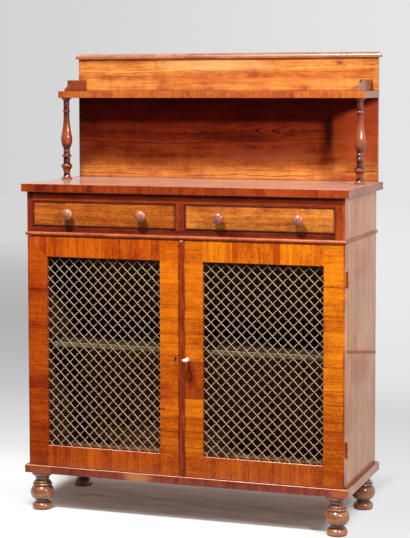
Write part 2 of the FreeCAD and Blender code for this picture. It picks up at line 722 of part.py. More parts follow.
def keyhole(name, x, z, y, depth):
    """The tools that cut a keyhole: a round eye and the slot below it."""
    eye = rod(f"{name}_eye", s.keyhole_r, (x, y, z), depth, TO_BACK)
    slot_x = (x - s.keyhole_slot / 2, x + s.keyhole_slot / 2)
    slot = box(f"{name}_slot", slot_x, (y, y + depth), (z - s.keyhole_drop, z))
    return [eye, slot]


def door_members(sign):
    """The four frame members of one door: name, X limits, Z limits."""
    seam = s.seam_x + s.door_gap / 2 * sign
    meeting = (seam, s.open_x0) if sign > 0 else (-s.open_x0, seam)
    return {
        "hinge_stile": (mirrored(sign, s.open_x1, HALF), (DOOR_Z0, DOOR_Z1)),
        "meeting_stile": (meeting, (DOOR_Z0, DOOR_Z1)),
        "top_rail": (mirrored(sign, s.open_x0, s.open_x1), (s.open_z1, DOOR_Z1)),
        "bottom_rail": (mirrored(sign, s.open_x0, s.open_x1), (DOOR_Z0, s.open_z0)),
    }


def tenon(name, x, z, play):
    """A rail's tenon, or with some play the mortise for it."""
    limits_y = (FACE + s.tenon_y - play, FACE + s.tenon_y + s.tenon_t + play)
    limits_z = (z[0] + s.tenon_in - play, z[1] - s.tenon_in + play)
    return box(name, x, limits_y, limits_z)


def make_door_frame(side, sign):
    """Two stiles and two tenoned rails, rebated behind for the grille."""
    members = door_members(sign)
    rebate_y = (FACE + s.rebate_y, DOOR_BACK_Y + OVER)
    near = (s.open_x0 - s.rebate_w) if sign > 0 else (-s.open_x1 - s.rebate_w)
    far = (s.open_x1 + s.rebate_w) if sign > 0 else (s.rebate_w - s.open_x0)
    rebate_z = (s.open_z0 - s.rebate_w, s.open_z1 + s.rebate_w)
    for stile in ("hinge_stile", "meeting_stile"):
        limits_x, limits_z = members[stile]
        blank = box(f"{stile}_{side}_blank", limits_x, (FACE, DOOR_BACK_Y), limits_z)
        tools = [box("rebate", (near, far), rebate_y, rebate_z)]
        on_right = (stile == "hinge_stile") == (sign > 0)
        edge = limits_x[0] if on_right else limits_x[1]
        for rail in ("top_rail", "bottom_rail"):
            deep = s.tenon_l + s.bolt_play
            hole = (edge - OVER, edge + deep) if on_right else (edge - deep, edge + OVER)
            tools.append(tenon("mortise", hole, members[rail][1], s.dowel_play))
        if stile == "hinge_stile":
            tools += leaf_recesses(sign, (DOOR_BACK_Y - s.leaf_t, DOOR_BACK_Y + OVER))
        elif sign > 0:
            tools += lock_recess()
        else:
            tools += strike_and_bolt_grooves()
        keep(f"door_{side}_{stile}", cut(f"{stile}_{side}_cut", blank, tools))
    for rail in ("top_rail", "bottom_rail"):
        limits_x, limits_z = members[rail]
        blank = box(f"{rail}_{side}_blank", limits_x, (FACE, DOOR_BACK_Y), limits_z)
        body = cut(f"{rail}_{side}_rebated", blank, [box("rebate", (near, far), rebate_y, rebate_z)])
        ends = (limits_x[0] - s.tenon_l, limits_x[1] + s.tenon_l)
        tongue = tenon("tenon", ends, limits_z, 0)
        keep(f"door_{side}_{rail}", fuse(f"{rail}_{side}_whole", [body, tongue]))


def lock_limits():
    """Outer limits of the lock case."""
    left = s.seam_x + s.door_gap / 2 + s.lock_play
    middle = s.key_z + s.lock_lift
    limits_z = (middle - s.lock_h / 2, middle + s.lock_h / 2)
    return (left, left + s.lock_w), (FACE + s.lock_y, DOOR_BACK_Y - s.lock_play), limits_z


def lock_bolt_limits():
    """Limits of the lock bolt, withdrawn into the lock case."""
    x, y, _ = lock_limits()
    middle = (y[0] + y[1]) / 2
    limits_y = (middle - s.bolt_t / 2, middle + s.bolt_t / 2)
    return (x[0] + s.lock_play, x[0] + s.bolt_l), limits_y, (s.bolt_z, s.bolt_z + s.bolt_h)


def widened(limits, play):
    """Limits with some play on both sides."""
    return limits[0] - play, limits[1] + play


def lock_recess():
    """The lock's recess in the right meeting stile, and the keyhole in front of it."""
    x, y, z = lock_limits()
    limits_x = (x[0] - OVER, x[1] + s.lock_play)
    limits_y = (y[0] - s.lock_play, DOOR_BACK_Y + OVER)
    recess = box("lock_recess", limits_x, limits_y, widened(z, s.lock_play))
    return [recess, *keyhole("keyhole", s.key_x, s.key_z, FACE - OVER, s.lock_y + OVER)]


def strike_and_bolt_grooves():
    """The left meeting stile's strike pocket, blind keyhole and two flush bolt grooves."""
    edge = s.seam_x - s.door_gap / 2
    _, bolt_y, bolt_z = lock_bolt_limits()
    pocket_y, pocket_z = widened(bolt_y, s.bolt_play), widened(bolt_z, s.bolt_play)
    tools = [box("strike_pocket", (edge - s.strike_d, edge + OVER), pocket_y, pocket_z)]
    tools += keyhole("blind_keyhole", s.blind_key_x, s.key_z, FACE - OVER, s.blind_depth + OVER)
    groove = s.flush_r + s.bolt_play
    limits_x = (s.flush_x - groove, s.flush_x + groove)
    limits_y = (FACE + s.flush_y - groove, DOOR_BACK_Y + OVER)
    reach = s.flush_l + s.bolt_play * 2
    for limits_z in ((DOOR_Z0 - OVER, DOOR_Z0 + reach), (DOOR_Z1 - reach, DOOR_Z1 + OVER)):
        tools.append(box("bolt_groove", limits_x, limits_y, limits_z))
    return tools


def clip_diagonal(offset, rising, width, height):
    """The two ends of one 45 degree line across a rectangle, or None where it misses."""
    ends = []
    for x in (0, width):
        y = x + offset if rising else offset - x
        if 0 <= y <= height:
            ends.append((x, y))
    for y in (0, height):
        x = y - offset if rising else offset - y
        if 0 < x < width:
            ends.append((x, y))
    if len(ends) < 2 or math.dist(*ends) < SHORTEST_WIRE:
        return None
    return ends


def make_grille(side, sign):
    """Two layers of crossing diagonal wires, the falling ones in front."""
    margin = s.rebate_w.number - s.wire_r.number
    left = s.open_x0.number - margin if sign > 0 else -s.open_x1.number - margin
    bottom = s.open_z0.number - margin
    width = s.open_x1.number - s.open_x0.number + 2 * margin
    height = s.open_z1.number - s.open_z0.number + 2 * margin
    radius = s.wire_r.number
    first_y = FACE.number + s.rebate_y.number + radius
    step = s.wire_step.number
    steps = math.ceil((width + height) / step)
    wires = []
    for rising, layer_y in ((False, first_y), (True, first_y + 2 * radius)):
        for number in range(-steps, steps + 1):
            offset = number * step + (0 if rising else height)
            ends = clip_diagonal(offset, rising, width, height)
            if ends is None:
                continue
            start, stop = (V(left + x, layer_y, bottom + z) for x, z in ends)
            wires.append(Part.makeCylinder(radius, (stop - start).Length, start, stop - start))
    grille = doc.addObject("Part::Feature", f"grille_{side}")
    grille.Shape = Part.makeCompound(wires)
    keep(f"door_{side}_grille", grille)


def make_grille_beads(side, sign):
    """Four strips behind the grille that hold it in its rebate."""
    x0 = s.open_x0 - s.rebate_w if sign > 0 else -s.open_x1 - s.rebate_w
    x1 = s.open_x1 + s.rebate_w if sign > 0 else s.rebate_w - s.open_x0
    z0, z1 = s.open_z0 - s.rebate_w, s.open_z1 + s.rebate_w
    y = (FACE + s.rebate_y + s.wire_r * 4, DOOR_BACK_Y)
    wide = s.rebate_w
    strips = [
        box("grille_strip", (x0, x1), y, (z0, z0 + wide)),
        box("grille_strip", (x0, x1), y, (z1 - wide, z1)),
        box("grille_strip", (x0, x0 + wide), y, (z0 + wide, z1 - wide)),
        box("grille_strip", (x1 - wide, x1), y, (z0 + wide, z1 - wide)),
    ]
    keep(f"door_{side}_grille_beads", group(f"grille_beads_{side}", strips))


def make_meeting_slip():
    """The rounded slip on the right door's meeting stile."""
    wide, out = s.slip_w, s.slip_out
    outline = [(0, out), (0, out * 0.5), (wide / 2, 0, "arc"), (wide, out * 0.5), (wide, out)]
    slip = padded("meeting_slip", "XY_Plane", outline, DOOR_Z1 - DOOR_Z0)
    place(slip, s.seam_x + s.door_gap / 2, FACE - out, DOOR_Z0)
    keep("meeting_slip", slip)


def make_lock():
    """A hollow lock case let into the right door, with its bolt and its key."""
    x, y, z = lock_limits()
    wall = s.lock_wall
    bolt = lock_bolt_limits()
    shell = box("lock_outside", x, y, z)
    tools = [box("lock_inside", *(widened(limits, -wall) for limits in (x, y, z)))]
    slot_x = (x[0] - OVER, x[0] + wall + OVER)
    tools.append(box("bolt_slot", slot_x, *(widened(limits, s.bolt_play) for limits in bolt[1:])))
    tools += keyhole("lock_hole", s.key_x, s.key_z, y[0] - OVER, wall + OVER * 2)
    seat = (s.key_x, y[1] - wall - OVER, s.key_z)
    tools.append(rod("key_seat", s.key_r + s.pin_play, seat, wall + OVER * 2, TO_BACK))
    keep("lock_case", cut("lock_case_cut", shell, tools))
    keep("lock_bolt", box("lock_bolt", *bolt))
    ring_y = FACE - s.key_out + s.bow_r + s.bow_wire
    neck_y = ring_y + s.bow_r
    shank = rod("key_shank", s.key_r, (s.key_x, neck_y, s.key_z), y[1] - neck_y, TO_BACK)
    collar = rod("key_collar", s.collar_r, (s.key_x, neck_y + s.collar_l, s.key_z), s.collar_l, TO_BACK)
    bit_x = (s.key_x - s.bit_t / 2, s.key_x + s.bit_t / 2)
    bit = box("key_bit", bit_x, bolt[1], (s.key_z - s.bit_l, s.key_z))
    bow = doc.addObject("Part::Torus", "key_bow")
    bind(bow, "Radius1", s.bow_r)
    bind(bow, "Radius2", s.bow_wire)
    place(bow, s.key_x, ring_y, s.key_z)
    keep("key", fuse("key_whole", [shank, collar, bit, bow]))


def make_flush_bolts():
    """Two bolts in grooves behind the left meeting stile, each with a thumb piece."""
    for level, z0 in (("lower", DOOR_Z0 + s.lock_play), ("upper", DOOR_Z1 - s.lock_play - s.flush_l)):
        y = FACE + s.flush_y
        bar = rod(f"flush_{level}_bar", s.flush_r, (s.flush_x, y, z0), s.flush_l)
        middle = z0 + s.flush_l / 2
        limits_z = (middle - s.thumb_l / 2, middle + s.thumb_l / 2)
        limits_x = (s.flush_x - s.thumb_w / 2, s.flush_x + s.thumb_w / 2)
        thumb = box(f"flush_{level}_thumb", limits_x, (y, DOOR_BACK_Y + s.thumb_out), limits_z)
        keep(f"flush_bolt_{level}", fuse(f"flush_bolt_{level}_whole", [bar, thumb]))


def make_doors():
    """Both doors with everything fixed to them."""
    for side, sign in (("left", -1), ("right", 1)):
        make_door_frame(side, sign)
        make_grille(side, sign)
        make_grille_beads(side, sign)
    make_meeting_slip()
    make_lock()
    make_flush_bolts()


def make_drawer(side, left, right):
    """A drawer: front, box, cock bead round the front and two turned knobs."""
    gap = s.drawer_gap
    x0, x1 = left + gap, right - gap
    z0, z1 = s.drawer_z0 + gap, s.drawer_z1 - gap
    bead = s.cock_t
    front_y = (FACE, FACE + s.front_t)
    blank = box(f"drawer_{side}_front_blank", (x0, x1), front_y, (z0, z1))
    bead_y = (FACE - s.cock_out, FACE + s.cock_d)
    strips = []
    tools = []
    for x, z in (
        ((x0, x1), (z0, z0 + bead)),
        ((x0, x1), (z1 - bead, z1)),
        ((x0, x0 + bead), (z0 + bead, z1 - bead)),
        ((x1 - bead, x1), (z0 + bead, z1 - bead)),
    ):
        strips.append(box("cock_strip", x, bead_y, z))
        tools.append(box("cock_rebate", x, bead_y, z))
    centre = (left + right) / 2 + (s.knob_off_left if side == "left" else s.knob_off_right)
    step = s.knob_step_left if side == "left" else s.knob_step_right
    for knob, x in (("a", centre - step), ("b", centre + step)):
        start = (x, FACE - OVER, s.knob_z)
        tools.append(rod("knob_hole", s.knob_dowel_r + s.dowel_play, start, s.front_t + OVER * 2, TO_BACK))
        body = turned(f"drawer_{side}_knob_{knob}", "knob", s.knob_dowel_r, below=s.knob_dowel_l)
        place(body, x, FACE, s.knob_z, FreeCAD.Rotation(V(1, 0, 0), 90))
        keep(f"drawer_{side}_knob_{knob}", body)
    keep(f"drawer_{side}_front", cut(f"drawer_{side}_front_cut", blank, tools))
    keep(f"drawer_{side}_cock_bead", group(f"drawer_{side}_cock_strips", strips))
    make_drawer_box(side, (x0 + gap / 2, x1 - gap / 2))


def make_drawer_box(side, span):
    """The sides, back and bottom of a drawer behind its front."""
    wall = s.drawer_side_t
    inside = (span[0] + wall, span[1] - wall)
    depth = (FACE + s.front_t, FACE + s.drawer_l)
    tall = (DRAWER_Z0, DRAWER_Z0 + s.drawer_side_h)
    floor = DRAWER_Z0 + s.drawer_floor_up
    pieces = [
        box("drawer_wall", (span[0], inside[0]), depth, tall),
        box("drawer_wall", (inside[1], span[1]), depth, tall),
        box("drawer_wall", inside, (depth[1] - wall, depth[1]), tall),
        box("drawer_floor", inside, (depth[0], depth[1] - wall), (floor, floor + s.drawer_floor_t)),
    ]
    keep(f"drawer_{side}_box", group(f"drawer_{side}_box_pieces", pieces))


def check_document():
    """Stop if any object failed to build or any kept shape is unusable."""
    for thing in doc.Objects:
        if {"Invalid", "Error"} & set(thing.State):
            raise RuntimeError(f"{thing.Name} failed: {thing.State}")
    labels = [thing.Label for thing in kept]
    if len(set(labels)) != len(labels):
        raise RuntimeError("two pieces share a name")
    for thing in kept:
        if thing.Shape.isNull() or not thing.Shape.isValid() or not thing.Shape.Solids:
            raise RuntimeError(f"{thing.Label} has no usable shape")


def export():
    """Write one file for each kept piece."""
    os.makedirs("parts", exist_ok=True)
    for thing in kept:
        thing.Shape.exportStep(f"parts/{thing.Label}.step")
    print(len(kept), "pieces written")


make_feet()
make_plinth()
make_case()
make_frieze()
make_frieze_bead()
make_main_top()
make_upper_part()
make_galleries()
make_hinges()
make_doors()
for opening in drawer_openings():
    make_drawer(*opening)
doc.recompute()
check_document()
export()
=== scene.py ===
# %% [markdown]
# # A rosewood chiffonier
# The construction comes ready made from the CAD model: every board, hinge and wire is there at its real size.
# This lesson dresses it. Boards get eased arrises, turned parts are spun afresh so that they shine smoothly,
# and everything gets a finish that is worked out by nodes: polished veneer, brass, iron and stained pine.

# %% Load the frame
import json
import math
import random

import bmesh
import bpy
from mathutils import Matrix, Vector


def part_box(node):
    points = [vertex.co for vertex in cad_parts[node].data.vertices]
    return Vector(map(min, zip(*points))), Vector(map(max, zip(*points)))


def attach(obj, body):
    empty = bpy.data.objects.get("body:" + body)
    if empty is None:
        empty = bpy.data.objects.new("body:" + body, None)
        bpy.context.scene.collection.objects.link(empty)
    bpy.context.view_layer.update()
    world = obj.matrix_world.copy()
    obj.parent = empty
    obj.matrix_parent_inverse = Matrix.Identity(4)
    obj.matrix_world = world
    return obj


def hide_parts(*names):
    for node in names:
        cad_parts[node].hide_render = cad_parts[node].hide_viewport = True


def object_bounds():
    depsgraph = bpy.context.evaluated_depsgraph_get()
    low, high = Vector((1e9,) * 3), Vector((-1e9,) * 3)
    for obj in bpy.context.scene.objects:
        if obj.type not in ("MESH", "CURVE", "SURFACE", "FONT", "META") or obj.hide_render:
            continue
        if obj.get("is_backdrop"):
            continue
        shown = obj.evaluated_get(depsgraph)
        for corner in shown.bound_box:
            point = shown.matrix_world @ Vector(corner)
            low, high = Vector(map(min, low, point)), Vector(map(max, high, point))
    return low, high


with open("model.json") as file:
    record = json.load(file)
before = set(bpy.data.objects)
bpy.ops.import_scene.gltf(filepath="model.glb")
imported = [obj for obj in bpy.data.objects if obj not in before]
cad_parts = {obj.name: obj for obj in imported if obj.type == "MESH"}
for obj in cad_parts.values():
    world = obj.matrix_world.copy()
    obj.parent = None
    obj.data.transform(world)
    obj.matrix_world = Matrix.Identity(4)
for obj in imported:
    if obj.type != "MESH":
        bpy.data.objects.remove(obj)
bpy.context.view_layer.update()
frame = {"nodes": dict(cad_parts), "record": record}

# %% [markdown]
# ## Lengths and bodies
# Blender counts in metres, while furniture is drawn in millimetres, so one constant turns one into the other.
# Each piece rides on the body that carries it. The record already says which body holds which CAD piece.

# %% Lengths and bodies
MM = 0.001
SIDES = ("left", "right")
BODY_OF = {}
for body_name, members in frame["record"]["behaviour"]["bodies"].items():
    for member in members:
        BODY_OF[member] = body_name
SLOT_OF = {entry["node"]: entry["material_slot"] for entry in frame["record"]["subparts"]}
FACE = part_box("door_left_bottom_rail")[0].y


def middle_of(node):
    """The middle of a CAD piece's box."""
    low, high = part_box(node)
    return (low + high) / 2


# %% [markdown]
# ## A shorthand for node trees
# A shader is a graph. Wiring it by hand takes three lines a node, which hides what it does. This small class
# adds a node, feeds its sockets from numbers or from other nodes, and hands back its output, so that a recipe
# can be read from top to bottom.

# %% The node shorthand
class Graph:
    """Adds shader nodes to one tree and joins them."""

    def __init__(self, tree):
        self.tree = tree

    def feed(self, sockets, values):
        """Give sockets, in order or by name, a value each or a link from another node's output."""
        for key, value in values.items() if isinstance(values, dict) else enumerate(values):
            if isinstance(value, bpy.types.NodeSocket):
                self.tree.links.new(value, sockets[key])
            else:
                sockets[key].default_value = value

    def node(self, kind, values=(), **settings):
        made = self.tree.nodes.new(f"ShaderNode{kind}")
        for name, setting in settings.items():
            setattr(made, name, setting)
        self.feed(made.inputs, values)
        return made

    def calc(self, operation, *values, clamp=False):
        return self.node("Math", values, operation=operation, use_clamp=clamp).outputs[0]

    def less(self, value, taken):
        return self.calc("SUBTRACT", value, taken)

    def chain(self, operation, result, *others):
        for other in others:
            result = self.calc(operation, result, other)
        return result

    def times(self, *values):
        return self.chain("MULTIPLY", *values)

    def highest(self, *values):
        return self.chain("MAXIMUM", *values)

    def times_plus(self, value, factor, added):
        return self.calc("MULTIPLY_ADD", value, factor, added)

    def share(self, value, start, stop, clamp=False):
        """How far value has come from start to stop."""
        return self.calc("DIVIDE", self.less(value, start), stop - start, clamp=clamp)

    def window(self, value, start, stop, low=0.0, high=1.0):
        """A smooth step from low to high while value goes from start to stop."""
        return self.node("MapRange", (value, start, stop, low, high), interpolation_type="SMOOTHSTEP").outputs[0]

    def vector(self, operation, *values):
        return self.node("VectorMath", values, operation=operation).outputs[0]

    def length(self, vector):
        return self.node("VectorMath", (vector,), operation="LENGTH").outputs["Value"]

    def place(self):
        """The shaded point in its object's metres."""
        return self.node("TexCoord").outputs["Object"]

    def xyz(self, place=None):
        return self.node("SeparateXYZ", (place or self.place(),)).outputs

    def join(self, *parts):
        return self.node("CombineXYZ", parts).outputs[0]

    def noise(self, place, stretch, detail=2.0, roughness=0.5):
        """Noise that is finer along an axis the more that axis is stretched."""
        where = self.vector("MULTIPLY", place, stretch)
        values = {"Vector": where, "Scale": 1.0, "Detail": detail, "Roughness": roughness}
        return self.node("TexNoise", values).outputs["Fac"]

    def noise_along(self, value, detail=2.0):
        """Noise along one number."""
        values = {"W": value, "Scale": 1.0, "Detail": detail}
        return self.node("TexNoise", values, noise_dimensions="1D").outputs["Fac"]

    def mix(self, factor, first, second, blend="MIX"):
        values = {0: factor, 6: first, 7: second}
        return self.node("Mix", values, data_type="RGBA", blend_type=blend).outputs[2]

    def ramp(self, value, stops, interpolation="LINEAR"):
        """Colours along a value from 0 to 1, by their places."""
        made = self.node("ValToRGB", (value,))
        made.color_ramp.interpolation = interpolation
        elements = made.color_ramp.elements
        elements.remove(elements[1])
        elements[0].position, elements[0].color = stops[0]
        for where, shade in stops[1:]:
            elements.new(where).color = shade
        return made.outputs[0]

    def bump(self, height, strength, distance):
        return self.node("Bump", {"Height": height, "Strength": strength, "Distance": distance}).outputs[0]

    def group(self, tree, **values):
        return self.node("Group", values, node_tree=tree).outputs


SOCKET_KINDS = {3: "Vector", 4: "Color"}
BLACK = (0.0, 0.0, 0.0, 1.0)


def shader_group(name, takes, gives):
    """An empty node group with named sockets, and its graph, what it takes and what it gives.

    Takes has a default for each input: four numbers for a colour, three for a vector, one for a value.
    """
    tree = bpy.data.node_groups.new(name, "ShaderNodeTree")
    for label, value in takes.items():
        kind = SOCKET_KINDS[len(value)] if isinstance(value, tuple) else "Float"
        socket = tree.interface.new_socket(label, in_out="INPUT", socket_type=f"NodeSocket{kind}")
        socket.default_value = value
    for label, kind in gives.items():
        tree.interface.new_socket(label, in_out="OUTPUT", socket_type=f"NodeSocket{kind}")
    inside, outside = tree.nodes.new("NodeGroupInput"), tree.nodes.new("NodeGroupOutput")
    return tree, Graph(tree), inside.outputs, outside.inputs


def fresh_graph(holder):
    """The emptied node tree of a material or a world."""
    holder.use_nodes = True
    holder.node_tree.nodes.clear()
    return Graph(holder.node_tree)


print("node shorthand with", sum(callable(entry) for entry in vars(Graph).values()), "methods")

# %% [markdown]
# ## Rosewood
# Rosewood is orange to red brown with nearly black lines that follow its growth rings. Sawn through, the rings
# show as long lines where they run straight, and as nested arches where they bend. The recipe keeps one number
# for the ring that a point lies in: its place across the board, pushed about by slow noise. Every line is then
# noise along that number, so that all lines bend together, as rings do. Fine fibres and short pores lie on top.

# %% The rosewood group
def make_rosewood():
    tree, g, takes, gives = shader_group(
        "rosewood_figure",
        {
            "Vector": (0.0, 0.0, 0.0), "Light": (0.8, 0.3, 0.06, 1.0), "Deep": (0.4, 0.1, 0.03, 1.0),
            "Line": (0.05, 0.01, 0.005, 1.0), "Rings": 60.0, "Bend": 0.03, "Lines": 0.6, "Stripe": 1.0,
            "Fleck": 1.2, "Tone": 0.0,
        },
        {"Color": "Color", "Fibre": "Float", "Pore": "Float"},
    )
    place = takes["Vector"]
    ring = g.xyz(place)[1]
    for stretch, detail, reach in (
        ((1.3, 3.0, 3.0), 1.0, takes["Bend"]),
        ((8.0, 26.0, 26.0), 2.0, 0.013),
        ((30.0, 75.0, 75.0), 2.0, 0.004),
    ):
        ring = g.times_plus(g.less(g.noise(place, stretch, detail), 0.5), reach, ring)
    ring = g.times(ring, takes["Rings"])
    stripe = 0.0
    for pace, shift, weight in ((0.35, 3.1, 0.8), (1.0, 11.7, 0.75), (3.3, 29.3, 0.35)):
        level = g.noise_along(g.times_plus(ring, pace, shift), 1.0)
        stripe = g.times_plus(g.less(level, 0.5), weight, stripe)
    tone = g.times_plus(stripe, takes["Stripe"], g.calc("ADD", takes["Tone"], 0.5))
    strand = g.noise(place, (12.0, 360.0, 360.0), 2.0, 0.6)
    for part, weight in (
        (g.noise(place, (7.0, 10.0, 10.0)), 1.0),
        (g.noise(place, (22.0, 60.0, 60.0), 2.0, 0.6), 1.0),
        (g.noise(place, (110.0, 170.0, 170.0), 2.0, 0.6), takes["Fleck"]),
        (strand, 0.5),
        (g.noise(place, (30.0, 1500.0, 1500.0), 1.0), 0.35),
        (g.noise(place, (42.0, 7.0, 7.0), 1.0), 0.3),
    ):
        tone = g.times_plus(g.less(part, 0.5), weight, tone)
    tone = g.calc("ADD", tone, 0.0, clamp=True)
    ground = g.mix(tone, takes["Deep"], takes["Light"])
    broken = g.window(g.noise(place, (8.0, 70.0, 70.0)), 0.40, 0.58)
    line = g.window(g.noise_along(g.times_plus(ring, 2.4, 57.0), 1.0), 0.63, 0.74)
    broad = g.window(g.noise_along(g.times_plus(ring, 0.5, 77.0)), 0.64, 0.80)
    dark = g.highest(g.times(line, broken), g.times(broad, 0.6))
    dark = g.calc("MULTIPLY", dark, takes["Lines"], clamp=True)
    ground = g.mix(dark, ground, takes["Line"])
    pore = g.window(g.noise(place, (90.0, 1700.0, 1700.0), 1.0), 0.66, 0.74)
    g.feed(gives, {"Color": g.mix(g.times(pore, 0.45), ground, takes["Line"]), "Fibre": strand, "Pore": pore})
    return tree


ROSEWOOD = make_rosewood()
print("rosewood recipe of", len(ROSEWOOD.nodes), "nodes")

# %% [markdown]
# ## Marks of age and painted shade
# Three more groups draw marks. A blot is a soft patch with an uneven edge, such as a knot, a spill or a painted
# shadow. A streak is one thin line that runs along the grain and sways a little. The third darkens where two
# pieces meet, dirt and painted shade in one: ambient occlusion measures how shut in a point is, and noise keeps
# the darkening from looking drawn. Each takes a colour and hands it on changed, so a material can string together
# as many as it needs.

# %% Blots, streaks, dirt and painted shade
MARK_TINT = (0.03, 0.01, 0.005, 1.0)
GRIME_AND_SHADE_TINT = (0.02, 0.006, 0.003, 1.0)
GRIME_AND_SHADE_REACH = 8 * MM


def make_mark(name, find_mask, tint=MARK_TINT, **sockets):
    """A node group that lays a tint over a colour by its mask."""
    takes = {"Color": BLACK, "Tint": tint, "Amount": 0.6, **sockets}
    tree, g, takes, gives = shader_group(name, takes, {"Color": "Color"})
    mask = g.calc("MULTIPLY", find_mask(g, takes), takes["Amount"], clamp=True)
    g.feed(gives, {"Color": g.mix(mask, takes["Color"], takes["Tint"])})
    return tree


def blot_mask(g, takes):
    away = g.length(g.vector("MULTIPLY", g.vector("SUBTRACT", g.place(), takes["Centre"]), takes["Shrink"]))
    uneven = g.noise(g.place(), (50.0, 50.0, 50.0), 3.0, 0.6)
    return g.window(g.times_plus(g.less(uneven, 0.5), takes["Ragged"], away), 0.35, 1.0, 1.0, 0.0)


def streak_mask(g, takes):
    seed = g.times(takes["Level"], 97.0)
    sway = g.noise_along(g.times_plus(takes["Along"], 5.0, seed))
    centre = g.times_plus(g.less(sway, 0.5), takes["Sway"], takes["Level"])
    off = g.calc("ABSOLUTE", g.less(takes["Across"], centre))
    fade = g.window(g.noise_along(g.times_plus(takes["Along"], 9.0, g.calc("ADD", seed, 5.0))), 0.35, 0.6)
    return g.times(g.window(g.calc("DIVIDE", off, takes["Width"]), 0.2, 1.0, 1.0, 0.0), fade)


# Dirt and painted shade in one: darker where ambient occlusion finds a point shut in.
def grime_and_shade_mask(g, _takes):
    shut_in = g.node("AmbientOcclusion", {"Distance": GRIME_AND_SHADE_REACH}, samples=6).outputs["AO"]
    uneven = g.window(g.noise(g.place(), (40.0, 40.0, 40.0), 3.0), 0.3, 0.6, 0.5, 1.0)
    return g.times(g.window(shut_in, 0.35, 0.95, 1.0, 0.0), uneven)


BLOT = make_mark("blot", blot_mask, Centre=(0.0, 0.0, 0.0), Shrink=(10.0, 10.0, 10.0), Ragged=1.4)
STREAK = make_mark("streak", streak_mask, Along=0.0, Across=0.0, Level=0.0, Sway=0.01, Width=0.002)
GRIME_AND_SHADE = make_mark("corner_grime_and_shade", grime_and_shade_mask, GRIME_AND_SHADE_TINT)
print("marks of", [len(tree.nodes) for tree in (BLOT, STREAK, GRIME_AND_SHADE)], "nodes")

# %% [markdown]
# ## Colours
# Each wood is given by its mean colour, as a screen would show it. Its light parts are brighter and yellower,
# its deep parts darker and redder, because a resin takes blue and green out of the light before it takes red.
# Raising green and blue to higher powers than red does the same to the numbers.

# %% Colours
def linear(red, green, blue):
    """An ordinary screen colour, 0 to 255, as the linear colour that shaders use."""
    shares = [value / 255 for value in (red, green, blue)]
    return [share / 12.92 if share <= 0.04045 else ((share + 0.055) / 1.055) ** 2.4 for share in shares]


def colour(red, green, blue):
    return (*linear(red, green, blue), 1.0)


def grey(level):
    return (level, level, level, 1.0)


def shades(mean, spread=1.0):
    """The light and the deep colour round a mean one."""
    red, green, blue = linear(*mean)
    up, down = 1 + 0.32 * spread, 1 - 0.40 * spread
    light = (red * up, green * up**1.8, blue * up**2, 1.0)
    deep = (red * down, green * down**1.9, blue * down**2, 1.0)
    return light, deep


LINE = colour(66, 18, 6)
print("line colour", [round(value, 4) for value in LINE[:3]])

# %% [markdown]
# ## Veneer leaves
# Crossbanding is laid in short leaves, each cut from another part of the sheet, so tone and figure jump at each
# joint. A colour ramp with hard steps is a table of leaves: red holds a leaf's tone, green and blue move its
# figure to another place. A hair of dark glue shows at each joint. A ramp holds 32 steps at most, so a long row
# of leaves goes without the glue.

# %% Leaves along a band
GLUE_WIDTH = 0.3
GLUE_TONE = 0.3
ROW_WITH_GLUE = 16
MOVE_ALONG, MOVE_ACROSS = 5.0, 3.0


def even_leaves(start, stop, width, seed, contrast):
    """Leaves of nearly one width, for the places where their joints aren't listed one by one."""
    pick = random.Random(seed)
    leaves, edge = [], start
    while edge < stop:
        leaves.append((edge, pick.uniform(-contrast, contrast)))
        edge += width * pick.uniform(0.7, 1.3)
    return leaves


def lay_leaves(g, place, leaves, stop):
    """The place within its leaf, and the tone of that leaf.

    Leaves are (start in millimetres, tone in percent) across the band, which ends at stop.
    """
    along, across, into = g.xyz(place)
    start = leaves[0][0]
    pick = random.Random(len(leaves))
    stops = []
    for edge, tone in leaves:
        shift = (pick.random(), pick.random())
        where = (edge - start) / (stop - start)
        if stops and len(leaves) < ROW_WITH_GLUE:
            stops.append((max(where - GLUE_WIDTH / (stop - start), 0.0), (GLUE_TONE, *shift, 1)))
        stops.append((where, (tone / 100 + 0.5, *shift, 1)))
    table = g.ramp(g.share(across, start * MM, stop * MM), stops, "CONSTANT")
    tone, move_along, move_across = g.node("SeparateColor", (table,)).outputs
    moved = g.join(
        g.times_plus(move_along, MOVE_ALONG, along), g.times_plus(move_across, MOVE_ACROSS, across), into
    )
    return moved, g.less(tone, 0.5)


SHELF_LEAVES = even_leaves(-471, 471, 70, 4, 16)
print(len(SHELF_LEAVES), "leaves for the edge of the upper shelf")

# %% [markdown]
# ## Polished wood
# French polish is many thin coats of shellac, rubbed on with a pad. It is clear and hard, sinks a little over the
# pores and wears where hands reach. The shader's own base is the dull wood, and its coat is the polish. Three
# letters say how the grain lies: the first is the way along it, the second the way across it on the face that
# shows. Marks are functions, so that each piece can bring its own list of them.

# %% Wood materials
SEED_SHIFT = (3.7, 1.9, 0.7)
POLISH_BUMP = (0.10, 0.3 * MM)
MATT_BUMP = (0.25, 0.5 * MM)
PLAIN_SPREAD = 0.8
HAZE = {"Sheen Roughness": 0.35, "Sheen Tint": (1.0, 0.80, 0.70, 1.0)}


def new_material(name):
    """A material with one shader, its graph and the shader's sockets."""
    material = bpy.data.materials.new(name)
    g = fresh_graph(material)
    shader = g.node("BsdfPrincipled")
    g.node("OutputMaterial", {"Surface": shader.outputs[0]})
    return material, g, shader.inputs


